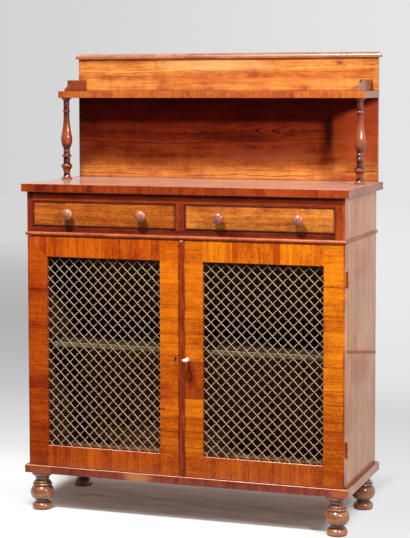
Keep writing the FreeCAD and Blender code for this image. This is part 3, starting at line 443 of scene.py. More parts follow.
def figured(
    g, axes, mean, rings=60, bend=0.03, lines=0.6, tone=0.0, seed=0.0, leaves=None, stop=None, spread=1.0,
    line=LINE, stripe=1.0, fleck=1.2,
):
    """Colour, fibre and pore of rosewood laid along the given axes, in one sheet or in leaves."""
    parts = g.xyz()
    place = g.join(*(parts["XYZ".index(axis)] for axis in axes))
    if leaves:
        place, leaf_tone = lay_leaves(g, place, leaves, stop)
        tone = g.calc("ADD", leaf_tone, tone)
    light, deep = shades(mean, spread)
    return g.group(
        ROSEWOOD, Vector=g.vector("ADD", place, [seed * step for step in SEED_SHIFT]), Light=light, Deep=deep,
        Line=line, Rings=rings, Bend=bend, Lines=lines, Stripe=stripe, Fleck=fleck, Tone=tone,
    )


def wood(
    name, axes, mean, marks=(), mitre=None, bald=None, coat=0.9, gloss=0.09, shine=0.15, thick=1.5, haze=0.0,
    **figure,
):
    """Polished rosewood of one mean colour.

    Marks change its colour, mitre is a mask and another cut of wood beyond it, and bald masks where the polish
    has gone. Coat, gloss and thick are weight, roughness and refraction of the polish, shine is the wood's own.
    """
    material, g, shader = new_material(name)
    grain = figured(g, axes, mean, **figure)
    base = grain["Color"]
    if mitre:
        mask, other = mitre
        base = g.mix(mask(g), base, figured(g, **other)["Color"])
    for mark in marks:
        base = mark(g, base)
    worn = g.window(g.noise(g.place(), (9.0, 9.0, 9.0), 3.0), 0.35, 0.6, coat * 0.75, coat)
    left = g.times_plus(grain["Pore"], -0.3 * coat, worn)
    if bald:
        left = g.times(left, g.less(1.0, bald(g)))
    relief = g.times_plus(grain["Pore"], -0.6, g.times(grain["Fibre"], 0.4))
    g.feed(shader, {
        "Base Color": g.group(GRIME_AND_SHADE, Color=base)["Color"],
        "Roughness": g.times_plus(grain["Fibre"], 0.3, 0.35),
        "Specular IOR Level": shine,
        "Coat Weight": left,
        "Coat Roughness": gloss,
        "Coat IOR": thick,
        "Normal": g.bump(relief, *POLISH_BUMP),
    })
    if haze:
        g.feed(shader, {"Sheen Weight": haze, **HAZE})
    return material


def plain_wood(name, axes, mean, seed=0.0):
    """Stained or bare softwood: matt, with quiet straight grain."""
    material, g, shader = new_material(name)
    line = shades(mean, PLAIN_SPREAD)[1]
    grain = figured(g, axes, mean, rings=90, bend=0.05, lines=0.4, seed=seed, spread=PLAIN_SPREAD, line=line)
    g.feed(shader, {
        "Base Color": g.group(GRIME_AND_SHADE, Color=grain["Color"])["Color"],
        "Roughness": g.times_plus(grain["Fibre"], 0.2, 0.62),
        "Specular IOR Level": 0.25,
        "Normal": g.bump(grain["Fibre"], *MATT_BUMP),
    })
    return material


STAIN = (62, 40, 24)
print("wood materials ready; a dark stain is", STAIN)

# %% [markdown]
# ## Marks on one piece
# A knot, a faded strip or a shadow line belongs to one place on one piece. Each function below takes sizes in
# millimetres and hands back a mark for that place. Bands follow the height alone: they paint shade, darker and
# redder, into the hollows of turned wood and into the part of a panel that lies under the shelf.

# %% Bands, blots, streaks and arches
SHELF_SHADE = (1.205, 1.214)


def shade_bands(levels, redden, slant=None):
    """Painted shade by height, darker and redder: heights in millimetres, each with its share of the colour.

    Slant is (from x, to x, rise): between those places the bands climb by the rise.
    """
    bottom, top = levels[0][0], levels[-1][0]
    stops = [
        ((height - bottom) / (top - bottom), (share, share**redden, share**redden, 1)) for height, share in levels
    ]

    def draw(g, base):
        x, _, up = g.xyz()
        if slant:
            start, stop, rise = (value * MM for value in slant)
            climbed = g.times(g.share(x, start, stop, clamp=True), g.window(up, *SHELF_SHADE, 1.0, 0.0))
            up = g.times_plus(climbed, -rise, up)
        return g.mix(1.0, base, g.ramp(g.share(up, bottom * MM, top * MM), stops), "MULTIPLY")

    return draw


def blot(centre, size, amount=0.6, tint=(60, 16, 6), ragged=1.4):
    """A soft patch, by its centre and half sizes in millimetres."""
    values = {
        "Centre": tuple(value * MM for value in centre), "Shrink": tuple(1 / (value * MM) for value in size),
        "Tint": colour(*tint), "Ragged": ragged, "Amount": amount,
    }
    return lambda g, base: g.group(BLOT, Color=base, **values)["Color"]


def streak(axes, level, sway=8.0, width=2.0, amount=0.6, tint=(52, 14, 5)):
    """One line along the first axis, at a level on the second, in millimetres."""
    values = {
        "Level": level * MM, "Sway": sway * MM, "Width": width * MM, "Tint": colour(*tint), "Amount": amount,
    }

    def draw(g, base):
        parts = g.xyz()
        along, across = (parts["XYZ".index(axis)] for axis in axes)
        return g.group(STREAK, Color=base, Along=along, Across=across, **values)["Color"]

    return draw


def arches(apex, reach, curve, amount, tint):
    """Nested arches on an upright face, where the saw cut runs through the side of a cone of rings.

    Apex and reach are the middle and the half sizes in X and Z, in millimetres.
    """

    def draw(g, base):
        place = g.place()
        parts = g.xyz(place)
        x, z = g.less(parts["X"], apex[0] * MM), g.less(parts["Z"], apex[1] * MM)
        bowed = g.times_plus(g.times(z, z), -curve / MM, x)
        bowed = g.times_plus(g.less(g.noise(place, (14.0, 14.0, 40.0)), 0.5), 0.03, bowed)
        rings = g.window(g.noise_along(g.times(bowed, 75.0)), 0.50, 0.66)
        away = g.length(g.join(g.calc("DIVIDE", x, reach[0] * MM), g.calc("DIVIDE", z, reach[1] * MM), 0.0))
        return g.mix(g.times(rings, g.window(away, 0.45, 1.0, amount, 0.0)), base, colour(*tint))

    return draw


print("four kinds of mark")

# %% [markdown]
# ## Brass and iron
# The grille and the fittings are old brass, bright where a hand rubs them and brown where none does. The lock is
# iron. Tarnish comes in patches, so coarse noise picks between the two colours, and fine noise roughens both.
# A thick brown film is hardly a metal any more, which is why the wires and hinges are only partly metallic.

# %% Metals
METAL_BUMP = (0.15, 0.2 * MM)


# The last argument sets how much dirt and painted shade gather in the corners.
def metal(name, bright, dull, rough, tarnish=0.5, bare=1.0, grime_and_shade=0.8):
    material, g, shader = new_material(name)
    patch = g.noise(g.place(), (60.0, 60.0, 60.0), 4.0, 0.6)
    speck = g.noise(g.place(), (400.0, 400.0, 400.0))
    mask = g.window(patch, 0.62 - tarnish * 0.4, 0.75 - tarnish * 0.2)
    base = g.mix(mask, colour(*bright), colour(*dull))
    g.feed(shader, {
        "Base Color": g.group(GRIME_AND_SHADE, Color=base, Amount=grime_and_shade)["Color"],
        "Metallic": bare,
        "Roughness": g.times_plus(mask, 0.25, g.times_plus(speck, 0.1, rough)),
        "Normal": g.bump(speck, *METAL_BUMP),
    })
    return material


BRASS = metal("old_brass", (246, 222, 176), (120, 94, 60), 0.28)
WIRE = metal("grille_brass", (168, 146, 122), (144, 122, 98), 0.5, 0.35, 0.25, 0.3)
IRON = metal("lock_iron", (120, 112, 104), (60, 44, 34), 0.45)
KEY_BRASS = metal("key_brass", (255, 238, 210), (226, 190, 150), 0.45, 0.3, 0.7, 0.3)
DULL_BRASS = metal("hinge_brass", (214, 132, 92), (164, 88, 58), 0.45, 0.5, 0.1, 0.2)
print("metals", [material.name for material in (BRASS, WIRE, IRON, KEY_BRASS, DULL_BRASS)])

# %% [markdown]
# ## Pieces copied from the frame
# A CAD piece arrives as loose triangles with knife sharp edges. A copy of it is merged into whole faces, and
# its outer arrises are rounded by a few tenths of a millimetre. That is what a cabinet maker's sandpaper does,
# and the narrow line of light along each edge is what makes a board look real.

# %% Copies with eased arrises
WELD = 2e-6
ON_LIMIT = 1e-5
SQUARE_ON = 0.9


def piece(name, bm, material, body, slot_name, smooth=True):
    """Make a finished mesh object from a bmesh and let it ride on its body."""
    mesh = bpy.data.meshes.new(name)
    bm.to_mesh(mesh)
    bm.free()
    made = bpy.data.objects.new(name, mesh)
    bpy.context.scene.collection.objects.link(made)
    mesh.materials.append(material)
    if smooth:
        mesh.shade_smooth()
    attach(made, body)
    return made


def welded(node):
    """A CAD piece's triangles, joined at their corners."""
    bm = bmesh.new()
    bm.from_mesh(frame["nodes"][node].data)
    bmesh.ops.remove_doubles(bm, verts=bm.verts, dist=WELD)
    return bm


def shaded(made, node, angle):
    """Shade a copy smoothly up to edges sharper than the angle, in place of its CAD piece."""
    made.data.set_sharp_from_angle(angle=math.radians(angle))
    made.modifiers.new("Shading", "WEIGHTED_NORMAL").keep_sharp = True
    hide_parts(node)
    return made


def add_finish(made, material, picks):
    """Another material for the faces that a test picks."""
    made.data.materials.append(material)
    for face in made.data.polygons:
        if picks(face):
            face.material_index = len(made.data.materials) - 1


def facing(axis, sign):
    """A test for faces that look along an axis, 0 to 2."""
    return lambda face: face.normal[axis] * sign > SQUARE_ON


def outline_edges(bm, low, high, ends):
    """Edges that lie on two sides of the piece's box; without ends, only those that run along its length."""
    size = high - low
    length = max(range(3), key=lambda axis: size[axis])
    found = []
    for edge in bm.edges:
        sides = set()
        for axis in range(3):
            for limit in (low[axis], high[axis]):
                if all(abs(vertex.co[axis] - limit) < ON_LIMIT for vertex in edge.verts):
                    sides.add(axis)
        if len(sides) >= 2 and (ends or length not in sides):
            found.append(edge)
    return found


def eased(node, material, width=0.6, ends=True, segments=2, arris=None, others=()):
    """A copy of a CAD board with its outer arrises rounded over by a width in millimetres.

    Ends False leaves the butt joints at both ends sharp. Arris is another material for the rounded edges, and
    others are pairs of a material and a test that picks its faces.
    """
    bm = welded(node)
    bmesh.ops.dissolve_limit(bm, angle_limit=math.radians(0.5), verts=bm.verts, edges=bm.edges)
    rounded = bmesh.ops.bevel(
        bm, geom=outline_edges(bm, *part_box(node), ends), offset=width * MM, offset_type="OFFSET", affect="EDGES",
        segments=segments, profile=0.5, material=-1, clamp_overlap=True,
    )
    for face in rounded["faces"]:
        face.material_index = 1 if arris else 0
    made = piece(f"{node}_eased", bm, material, BODY_OF[node], SLOT_OF[node])
    if arris:
        made.data.materials.append(arris)
    for other, picks in others:
        add_finish(made, other, picks)
    return shaded(made, node, 40)


def smoothed(node, material, angle=35):
    """A copy of a CAD piece that is shaded smoothly up to its real edges."""
    return shaded(piece(f"{node}_smooth", welded(node), material, BODY_OF[node], SLOT_OF[node]), node, angle)


def veneered(node, edges, *cut, **finish):
    """A board in a veneer of its own; edges say how it is eased."""
    return eased(node, wood(f"{node}_veneer", *cut, **finish), **edges)


print("copies weld corners within", WELD / MM, "mm")

# %% [markdown]
# ## Crossbanded boards
# The narrow front edges of top, upper shelf and plinth are crossbanded: short upright leaves in many tones cover
# the core. Their level faces carry long grain again, so one board gets two materials, told apart by the way a
# face looks. The top has been wiped for a century, which leaves a haze and long lines of thinner polish; pale
# streaks in its colour are painted reflections. The rounded edges of top and plinth are painted pale as
# highlights, and the plinth's right end gets painted light.

# %% Top, upper shelf and plinth
TOP_LEAVES = (
    (-484, -8), (-464, -3), (-446, -20), (-354, 2), (-298, -8), (-263, 2), (-151, 3), (-20, 0), (64, 10),
    (137, 6), (203, -4), (244, 18), (324, 8), (338, 2), (397, 18), (436, 4),
)
PLINTH_LEAVES = ((-484, 0), (-384, 5), (-250, -5), (-94, 6), (20, -8), (180, 0), (300, -10))
TOP_MARKS = (
    blot((-330, -60, 950), (150, 80, 30), 0.75, (104, 36, 12), 0.9),
    blot((-130, 60, 950), (130, 70, 30), 0.5, (106, 44, 20), 0.9),
    blot((150, -110, 950), (110, 50, 30), 0.45, (110, 46, 20), 0.9),
    blot((330, 90, 950), (90, 60, 30), 0.45, (104, 42, 20), 0.9),
    blot((60, 130, 950), (140, 40, 30), 0.5, (190, 120, 80), 0.9),
    # Pale streaks are painted reflections in the polish; the dark ones below are figure.
    *(streak("XY", level, 18, 5.0, 0.7, (214, 148, 96)) for level in (-150, -96, -40, 12, 70, 118)),
    *(streak("XY", level, 14, 3.0, 0.7, (96, 36, 16)) for level in (-124, -66, -14, 44, 150)),
)
PLINTH_MARKS = (
    blot((-133, -180, 122), (52, 30, 30), 0.8, (210, 128, 66), 0.7),
    blot((-440, -180, 122), (60, 30, 40), 0.6, (170, 88, 44)),
    blot((462, -180, 122), (44, 30, 40), 0.6, (196, 104, 50)),
)


def is_level(face):
    return abs(face.normal.z) > SQUARE_ON


def is_slanted(face):
    return 0.15 < face.normal.z < 0.97


def rubbed_lines(g):
    """Long thin lines in a top where cloths have rubbed the polish thin."""
    return g.window(g.noise(g.place(), (4.0, 90.0, 1.0), 3.0, 0.6), 0.44, 0.62, 0.0, 0.3)


top_surface = wood(
    "top_surface", "XYZ", (172, 82, 34), rings=40, bend=0.05, seed=2.0, coat=1.0, haze=0.6, spread=1.4, fleck=0.7,
    bald=rubbed_lines, marks=TOP_MARKS,
)
shelf_surface = wood(
    "shelf_surface", "XYZ", (150, 72, 36), rings=40, bend=0.05, lines=0.4, seed=3.0, coat=1.0
)
plinth_surface = wood("plinth_surface", "XYZ", (120, 50, 26), rings=40, lines=0.4, seed=4.0)
# Painted highlight: the plinth's rounded edge is pale.
plinth_arris_highlight = wood("plinth_arris_highlight", "XZY", (226, 146, 104), lines=0.1, coat=1.0, gloss=0.4, thick=1.7)
# Painted light: the plinth's right end is paler than its front.
plinth_end_painted_light = wood("plinth_end_painted_light", "YZX", (176, 100, 56), rings=40, lines=0.2)
top_edge = wood(
    "top_edge", "ZXY", (150, 50, 14), bend=0.02, lines=0.15, leaves=TOP_LEAVES, stop=484, stripe=0.5, spread=1.3
)
shelf_edge = wood(
    "shelf_edge", "ZXY", (172, 82, 32), bend=0.01, lines=0.15, leaves=SHELF_LEAVES, stop=471, stripe=0.3
)
plinth_edge = wood(
    "plinth_edge", "ZXY", (140, 50, 26), rings=80, bend=0.01, lines=0.4, leaves=PLINTH_LEAVES, stop=484,
    marks=PLINTH_MARKS,
)
# Painted highlight: the top's rounded edges are a little paler.
top_arris_highlight = wood("top_arris_highlight", "XZY", (160, 70, 34), lines=0.2, coat=1.0, gloss=0.35, thick=1.7)
eased("main_top", top_edge, 1.2, segments=3, arris=top_arris_highlight, others=((top_surface, is_level),))
eased("upper_shelf", shelf_edge, 0.8, others=((shelf_surface, is_level),))
plinth_faces = ((plinth_surface, is_level), (plinth_arris_highlight, is_slanted), (plinth_end_painted_light, facing(0, 1)))
eased("plinth", plinth_edge, others=plinth_faces)
print("leaves on top and plinth:", len(TOP_LEAVES), len(PLINTH_LEAVES))

# %% [markdown]
# ## The back panel
# The panel behind the shelf is one sheet with level grain, golden over the shelf. Below the shelf shade is
# painted in as darker and redder bands, darkest right under the shelf, and the right end, which the shelf never
# shades, gets painted light under a slope. A painted shadow darkens where the right column's shadow falls, and a
# pale pink patch is a painted reflection. Two families of arches show where the saw met the rings. All of this is
# a list of marks, laid from the bottom up: later marks lie on earlier ones.

# %% Frieze and back panel
# Painted shade under the shelf, as shares of the colour by height.
PANEL_SHADE_BANDS = (
    (950, 1.0), (982, 0.98), (992, 0.84), (1020, 0.74), (1050, 0.54), (1085, 0.44), (1114, 0.42), (1128, 0.20),
    (1200, 0.14), (1211, 0.25), (1216, 1.0), (1311, 1.0),
)


def painted_lit_corner(g, base):
    """Painted light on the right end of the panel, which the shelf never shades: below a slope it is redder and
    lighter.
    """
    x, _, z = g.xyz()
    slope = g.times_plus(g.less(x, 0.297), 0.41, 1.117)
    below = g.window(g.less(slope, z), 0.0, 0.014)
    mask = g.times(below, g.window(x, 0.30, 0.42, 0.0, 0.55), g.window(z, 0.990, 1.03))
    return g.mix(mask, base, colour(224, 96, 48))


PANEL_LINES = ((1270, 16, 2.0, 0.62), (1254, 12, 1.8, 0.62), (1236, 10, 1.6, 0.4), (978, 10, 1.8, 0.5))
PANEL_MARKS = (
    blot((-40, 200, 1292), (250, 30, 30), 0.5, (236, 172, 110), 0.5),
    blot((-60, 200, 1250), (200, 30, 22), 0.45, (168, 76, 34), 0.6),
    blot((330, 200, 1262), (150, 30, 30), 0.35, (178, 84, 40), 0.6),
    blot((-400, 200, 1040), (26, 30, 30), 0.5, (150, 40, 14), 0.6),
    # A pale pink patch: a painted reflection, the haze of the polish.
    blot((120, 200, 1024), (200, 30, 26), 0.5, (216, 136, 96), 0.5),
    blot((60, 200, 1072), (180, 30, 16), 0.6, (110, 36, 14), 0.6),
    arches((150, 1096), (160, 34), 0.26, 0.95, (56, 14, 4)),
    arches((-70, 1088), (120, 28), -0.30, 0.8, (64, 16, 5)),
    # Painted shade under the shelf, its edge climbing towards the right end.
    shade_bands(PANEL_SHADE_BANDS, 2.2, (297, 470, 71)),
    # Painted light on the right end below a slope.
    painted_lit_corner,
    # A painted shadow where the right column's shadow falls on the panel.
    blot((324, 200, 1098), (17, 30, 74), 0.75, (26, 7, 4), 0.2),
    *(streak("XZ", *line, (120, 46, 16)) for line in PANEL_LINES),
    blot((356, 200, 1294), (13, 20, 8), 0.75, (92, 52, 34)),
)
FRIEZE = {
    "stile_left": ("ZXY", (134, 44, 19), dict(lines=0.4, seed=1.0)),
    "stile_right": ("ZXY", (164, 64, 19), dict(lines=0.4, seed=3.0)),
    "divider": ("ZXY", (138, 50, 19), dict(lines=0.4, seed=5.0)),
    "top_rail": ("XZY", (150, 52, 20), dict(seed=4.0)),
    "bottom_rail": ("XZY", (126, 44, 17), dict(seed=6.0, spread=1.3)),
}
for name, (axes, mean, cut) in FRIEZE.items():
    veneered(f"frieze_{name}", dict(width=0.5, ends=False), axes, mean, rings=70, **cut)
panel_back = plain_wood("panel_back_stained", "XZY", (126, 80, 46), seed=6.0)
veneered(
    "upper_back_panel", dict(others=((panel_back, facing(1, 1)),)), "XZY", (198, 112, 48), PANEL_MARKS, rings=45,
    bend=0.10, seed=7.3, stripe=0.9, spread=1.25, fleck=0.5,
)
for side, mean, seed in (("left", (132, 54, 24), 8.0), ("right", (132, 58, 30), 9.0)):
    veneered(f"gallery_{side}", {}, "YZX", mean, rings=50, seed=seed)
print(len(PANEL_MARKS), "marks on the back panel")

# %% [markdown]
# ## The sides
# Each side is one sheet of veneer with upright grain, pale and dull, since sunlight and years have bleached it.
# Something wet once leaned on it and left a brown line, a little aslant, with a stain under it. There the polish
# has gone too, so the same line that colours the wood also takes the coat away. The inner face, which no one
# sees, is stained pine.

# %% Sides, mouldings and bead
LINE_HEIGHT, LINE_SLOPE = 0.4835, 0.155
STAIN_HEIGHT = 0.440


def side_line(g):
    """One slanting line across a side, where a wet edge once leaned on it."""
    _, y, z = g.xyz()
    away = g.calc("ABSOLUTE", g.less(g.times_plus(y, LINE_SLOPE, z), LINE_HEIGHT))
    return g.window(away, 0.0015, 0.0075, 1.0, 0.0)


def side_stain(g):
    """Where damp has taken the polish off a side: along one line and in a patch under it."""
    _, y, z = g.xyz()
    patch = g.window(g.calc("ABSOLUTE", g.less(z, STAIN_HEIGHT)), 0.015, 0.06, 0.3, 0.0)
    return g.highest(side_line(g), g.times(patch, g.window(g.calc("ABSOLUTE", y), 0.05, 0.13, 1.0, 0.0)))


SIDE_MARKS = (
    blot((470, -5, 436), (40, 120, 66), 0.7, (164, 82, 30), 0.8),
    lambda g, base: g.mix(side_line(g), base, colour(168, 84, 30)),
    blot((470, 175, 500), (40, 26, 420), 0.35, (160, 128, 84), 0.4),
)
inner_stain = plain_wood("inner_face_stained", "ZYX", (96, 60, 34))
for number, side in enumerate(SIDES):
    veneered(
        f"side_{side}", dict(others=((inner_stain, facing(0, 1 if side == "left" else -1)),)), "ZYX",
        (192, 116, 52), SIDE_MARKS, bald=side_stain, rings=40, bend=0.02, lines=0.1, seed=number * 2.0, coat=0.8,
        stripe=0.6, spread=0.9, fleck=0.5,
    )

SIDE_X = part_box("side_right")[1].x
crown = wood("crown_veneer", "XZY", (160, 96, 62), lines=0.25, gloss=0.3, thick=1.7)
smoothed("upper_moulding", crown, 30)
bead = smoothed("frieze_bead", wood("bead_veneer", "XZY", (178, 80, 38), lines=0.3, coat=0.6, gloss=0.3), 30)
faded = wood("bead_side_veneer", "YZX", (170, 112, 72), lines=0.2, coat=0.3, gloss=0.4)
add_finish(bead, faded, lambda face: abs(face.center.x) > 0.470 and abs(face.normal.y) < 0.1)
print("sides at", round(SIDE_X, 4), "from the middle")

# %% [markdown]
# ## Plain wood inside
# Behind the doors no one wastes veneer: back boards, bottom, dust board and guides are stained pine. Only the
# front edge of the inner shelf shows through the lattice, and its rounded edge is painted pale, a painted
# highlight.

# %% The inside
STAINS = {"case_back": (166, 108, 62), "cupboard_bottom": (150, 98, 60), "inner_shelf": (72, 48, 30)}
INSIDE = ("case_back", "cupboard_bottom", "dust_board", "drawer_guides", "inner_shelf", "shelf_bearers")
SHELF_FINISH = dict(
    width=1.6,
    # Painted highlight: the inner shelf's rounded front edge is pale.
    arris=plain_wood("inner_shelf_highlight", "XZY", (206, 184, 150), seed=3.0),
    others=((plain_wood("inner_shelf_edge", "XZY", (112, 88, 54), seed=3.0), facing(1, -1)),),
)
for number, node in enumerate(INSIDE):
    axes = "ZXY" if node == "case_back" else "XYZ"
    stained = plain_wood(f"{node}_stained", axes, STAINS.get(node, STAIN), seed=number)
    eased(node, stained, **(SHELF_FINISH if node == "inner_shelf" else dict(width=0.5)))
print(len(INSIDE), "inner pieces stained")

# %% [markdown]
# ## The doors
# Each door is a frame of two stiles and two rails, crossbanded all round: on a stile the grain lies level, on
# a rail it stands upright. The leaves differ so much in tone that their joints are listed one by one, from the
# bottom of a stile upwards and from the left of a rail. The left door is redder and the right one more golden.
# The table gives each board its mean colour, then its leaves, then its marks.

# %% Leaves of the doors
def lines_across(levels, sway=8, width=1.6, amount=0.6):
    """Level dark lines on a stile, at heights in millimetres."""
    return [streak("XZ", level, sway, width, amount) for level in levels]


DOOR_BOARDS = {
    "left_hinge_stile": (
        (176, 66, 3),
        (
            (134, -36), (203, -8), (265, 0), (309, -12), (356, -26), (391, 0), (484, 6), (528, -8), (562, 12),
            (606, -14), (667, 6),
        ),
        streak("ZX", -468, 1.5, 3, 0.5, (110, 34, 10)),
        *lines_across((203, 358, 564, 648), 8, 2.6),
        *lines_across((240, 420, 700), 8, 1.5, 0.5),
    ),
    "left_meeting_stile": (
        (210, 98, 3),
        ((134, -35), (195, -12), (284, 12), (326, -8), (476, 15), (537, 0), (617, 12), (679, 25), (738, -15)),
        streak("ZX", -7, 1.5, 4, 0.7, (110, 34, 12)),
        *lines_across((537, 617, 637), 10, 1.6),
        blot((-57, -176, 322), (12, 12, 5)),
    ),
    "left_top_rail": (
        (194, 80, 2),
        ((-411, -15), (-358, 18), (-300, 0), (-260, 14), (-207, -12), (-130, 20), (-92, -20)),
    ),
    "left_bottom_rail": (
        (184, 76, 9),
        ((-411, -8), (-361, -30), (-342, -2), (-282, 20), (-244, -20), (-212, 18), (-172, 5), (-92, -10)),
    ),
    "right_hinge_stile": (
        (209, 104, 6),
        (
            (134, -80), (194, -40), (291, -5), (362, 0), (400, 22), (466, 10), (564, -10), (594, 20), (684, 25),
            (752, 0),
        ),
        streak("ZX", 468, 1.5, 4, 0.8, (120, 40, 12)),
        streak("ZX", 411, 1.5, 2.5, 0.4, (150, 60, 16)),
        *lines_across((594, 636, 668, 684, 752), 8, 1.4, 0.5),
        *lines_across((336, 362, 466), 6, 3.0, 0.7),
        *lines_across((400,), 12, 1.5),
    ),
    "right_meeting_stile": (
        (206, 97, 4),
        ((134, -28), (192, 0), (300, 20), (355, -30), (461, -8), (506, 0), (599, 10), (643, 22), (741, 0)),
        streak("ZX", 11, 1.5, 4, 0.6, (120, 40, 12)),
        *lines_across((741, 752, 762, 773, 784), 3, 1.2, 0.55),
        *lines_across((300, 599, 643), 8, 1.5),
        blot((30, -176, 412), (20, 14, 56), 0.8, (130, 35, 8)),
        blot((56, -176, 376), (26, 14, 20), 0.6, (134, 44, 10)),
    ),
    "right_top_rail": (
        (214, 105, 5),
        ((63, -8), (80, 25), (125, 0), (138, 30), (149, -15), (268, -30), (288, 35), (324, 0), (400, -10)),
    ),
    "right_bottom_rail": (
        (185, 80, 15),
        ((63, 0), (131, -8), (187, 18), (216, 0), (245, -5), (288, 15), (345, -22), (400, -35)),
    ),
}
print("door leaves:", sum(len(leaves) for _, leaves, *_ in DOOR_BOARDS.values()))

# %% [markdown]
# ## Door frames
# Rails butt against stiles, and the joint shows as a fine dark line, so their ends stay sharp while the long
# edges are eased. At the left door's top corner the rail's veneer runs on over the stile up to a diagonal: a
# mask mixes a second cut of wood in beyond that mitre. The ledge under each grille gets a pale material on its
# rounded edge, a painted highlight.

# %% Door frames
DOOR_TOP, OPENING_TOP = 0.8005, 0.741
DOOR_SIDE, OPENING_SIDE = -0.470, -0.4104
STILE_STOP, RAIL_RUN = 801, 348


def beyond_mitre(g):
    """The top corner of the left hinge stile, where the rail's upright grain comes across."""
    x, _, z = g.xyz()
    slope = (DOOR_TOP - OPENING_TOP) / (DOOR_SIDE - OPENING_SIDE)
    return g.calc("GREATER_THAN", z, g.times_plus(g.less(x, OPENING_SIDE), slope, OPENING_TOP))


CORNER = dict(axes="ZXY", mean=(176, 66, 12), rings=100, bend=0.012, tone=-0.02, seed=2.0)
# Painted highlight on the rounded edge of the ledge under each grille.
ledge = wood("ledge_highlight", "XZY", (232, 160, 124), lines=0.1, coat=1.0, gloss=0.4, thick=1.8)
for name, (mean, leaves, *marks) in DOOR_BOARDS.items():
    if name.endswith("stile"):
        edges = dict(width=0.7, ends=False)
        cut = dict(axes="XZY", lines=0.5, stop=STILE_STOP, stripe=0.7, seed=int("meeting" in name))
        if name == "left_hinge_stile":
            cut["mitre"] = (beyond_mitre, CORNER)
    else:
        edges = dict(width=1.4, ends=False, segments=3, arris=ledge if "bottom" in name else None)
        cut = dict(axes="ZXY", lines=0.45, stop=leaves[0][0] + RAIL_RUN, stripe=0.8)
    veneered(f"door_{name}", edges, mean=mean, marks=marks, leaves=leaves, rings=100, **cut)
for side in SIDES:
    eased(f"door_{side}_grille_beads", plain_wood(f"grille_beads_{side}_stained", "XZY", STAIN), 0.8)
SLIP_MARKS = (
    # A dark streak on the slip's right side is painted shade.
    streak("ZX", 6, 2.0, 4.0, 0.8, (76, 20, 6)),
    streak("ZX", -4.5, 1.0, 1.6, 0.6, (90, 24, 8)),
    blot((1.5, -180, 800), (7, 12, 8), 0.7, (230, 160, 116), 0.8),
)
slip = wood("slip_veneer", "ZXY", (156, 54, 12), rings=80, lines=0.3, coat=0.3, gloss=0.3, marks=SLIP_MARKS)
smoothed("meeting_slip", slip, 50)
print("two doors of four boards, and the slip that closes the gap between them")

# %% [markdown]
# ## The grilles
# The lattice is two layers of round brass wire, crossing at right angles and soldered where they touch. Each
# wire is a small circle, pushed out along its length. A flattened drop of solder sits on every crossing, which
# is where the lines of two wires meet when seen from the front.

# %% Lattice wires and solder
WIRE_SIDES = 10
SOLDER_SIZE = 1.55
SOLDER_MARGIN = 2 * MM


def islands(bm):
    """The points of each connected part of a mesh."""
    seen = set()
    for start in bm.verts:
        if start in seen:
            continue
        island, waiting = [], [start]
        seen.add(start)
        while waiting:
            vertex = waiting.pop()
            island.append(vertex.co)
            for edge in vertex.link_edges:
                other = edge.other_vert(vertex)
                if other not in seen:
                    seen.add(other)
                    waiting.append(other)
        yield island


def wire_ends(node):
    """The middle of both ends of each wire in a CAD grille, and whether it rises to the right."""
    bm = welded(node)
    ends = []
    for island in islands(bm):
        low = Vector([min(point[axis] for point in island) for axis in range(3)])
        high = Vector([max(point[axis] for point in island) for axis in range(3)])
        x, y, z = (low + high) / 2
        rising = sum((point.x - x) * (point.z - z) for point in island) > 0
        heights = (low.z, high.z) if rising else (high.z, low.z)
        ends.append((Vector((low.x, y, heights[0])), Vector((high.x, y, heights[1])), rising))
    bm.free()
    return ends


def crossing(first, last, start, stop):
    """Where two wires cross, seen from the front, or None where they don't."""
    climb = (last.z - first.z) / (last.x - first.x)
    fall = (stop.z - start.z) / (stop.x - start.x)
    x = (start.z - fall * start.x - first.z + climb * first.x) / (climb - fall)
    if max(first.x, start.x) + SOLDER_MARGIN < x < min(last.x, stop.x) - SOLDER_MARGIN:
        return Vector((x, (first.y + start.y) / 2, first.z + climb * (x - first.x)))
    return None


def lattice(side):
    node, body = f"door_{side}_grille", f"door_{side}"
    ends = wire_ends(node)
    low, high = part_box(node)
    radius = (high.y - low.y) / 4
    bm = bmesh.new()
    for first, last, _ in ends:
        run = last - first
        turn = run.to_track_quat("Z", "Y").to_matrix().to_4x4()
        bmesh.ops.create_cone(
            bm, cap_ends=True, segments=WIRE_SIDES, radius1=radius, radius2=radius,
            depth=run.length - radius * 1.4, matrix=Matrix.Translation((first + last) / 2) @ turn,
        )
    made = piece(f"grille_wires_{side}", bm, WIRE, body, SLOT_OF[node])
    made.data.set_sharp_from_angle(angle=math.radians(50))
    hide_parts(node)
    bm = bmesh.new()
    risers, fallers = ([wire[:2] for wire in ends if wire[2] is way] for way in (True, False))
    points = [crossing(*riser, *faller) for riser in risers for faller in fallers]
    drops = [point for point in points if point]
    for point in drops:
        place = Matrix.Translation(point) @ Matrix.Diagonal((1.0, 1.15, 1.0, 1.0))
        bmesh.ops.create_icosphere(bm, subdivisions=1, radius=radius * SOLDER_SIZE, matrix=place)
    piece(f"grille_solder_{side}", bm, WIRE, body, SLOT_OF[node])
    print(side, "grille:", len(ends), "wires and", len(drops), "drops of solder")


for side in SIDES:
    lattice(side)

# %% [markdown]
# ## Turned parts
# Feet, columns and knobs come off a lathe, so Blender spins them the same way: half the outline is drawn once
# and turned right round. Round stretches are arcs through three points, so that few points give a full shape.
# Every station is a radius and a height in millimetres, and "arc" marks the middle of a round stretch.

# %% Spinning an outline
LATHE_STEPS = 64
ARC_STEPS = 8

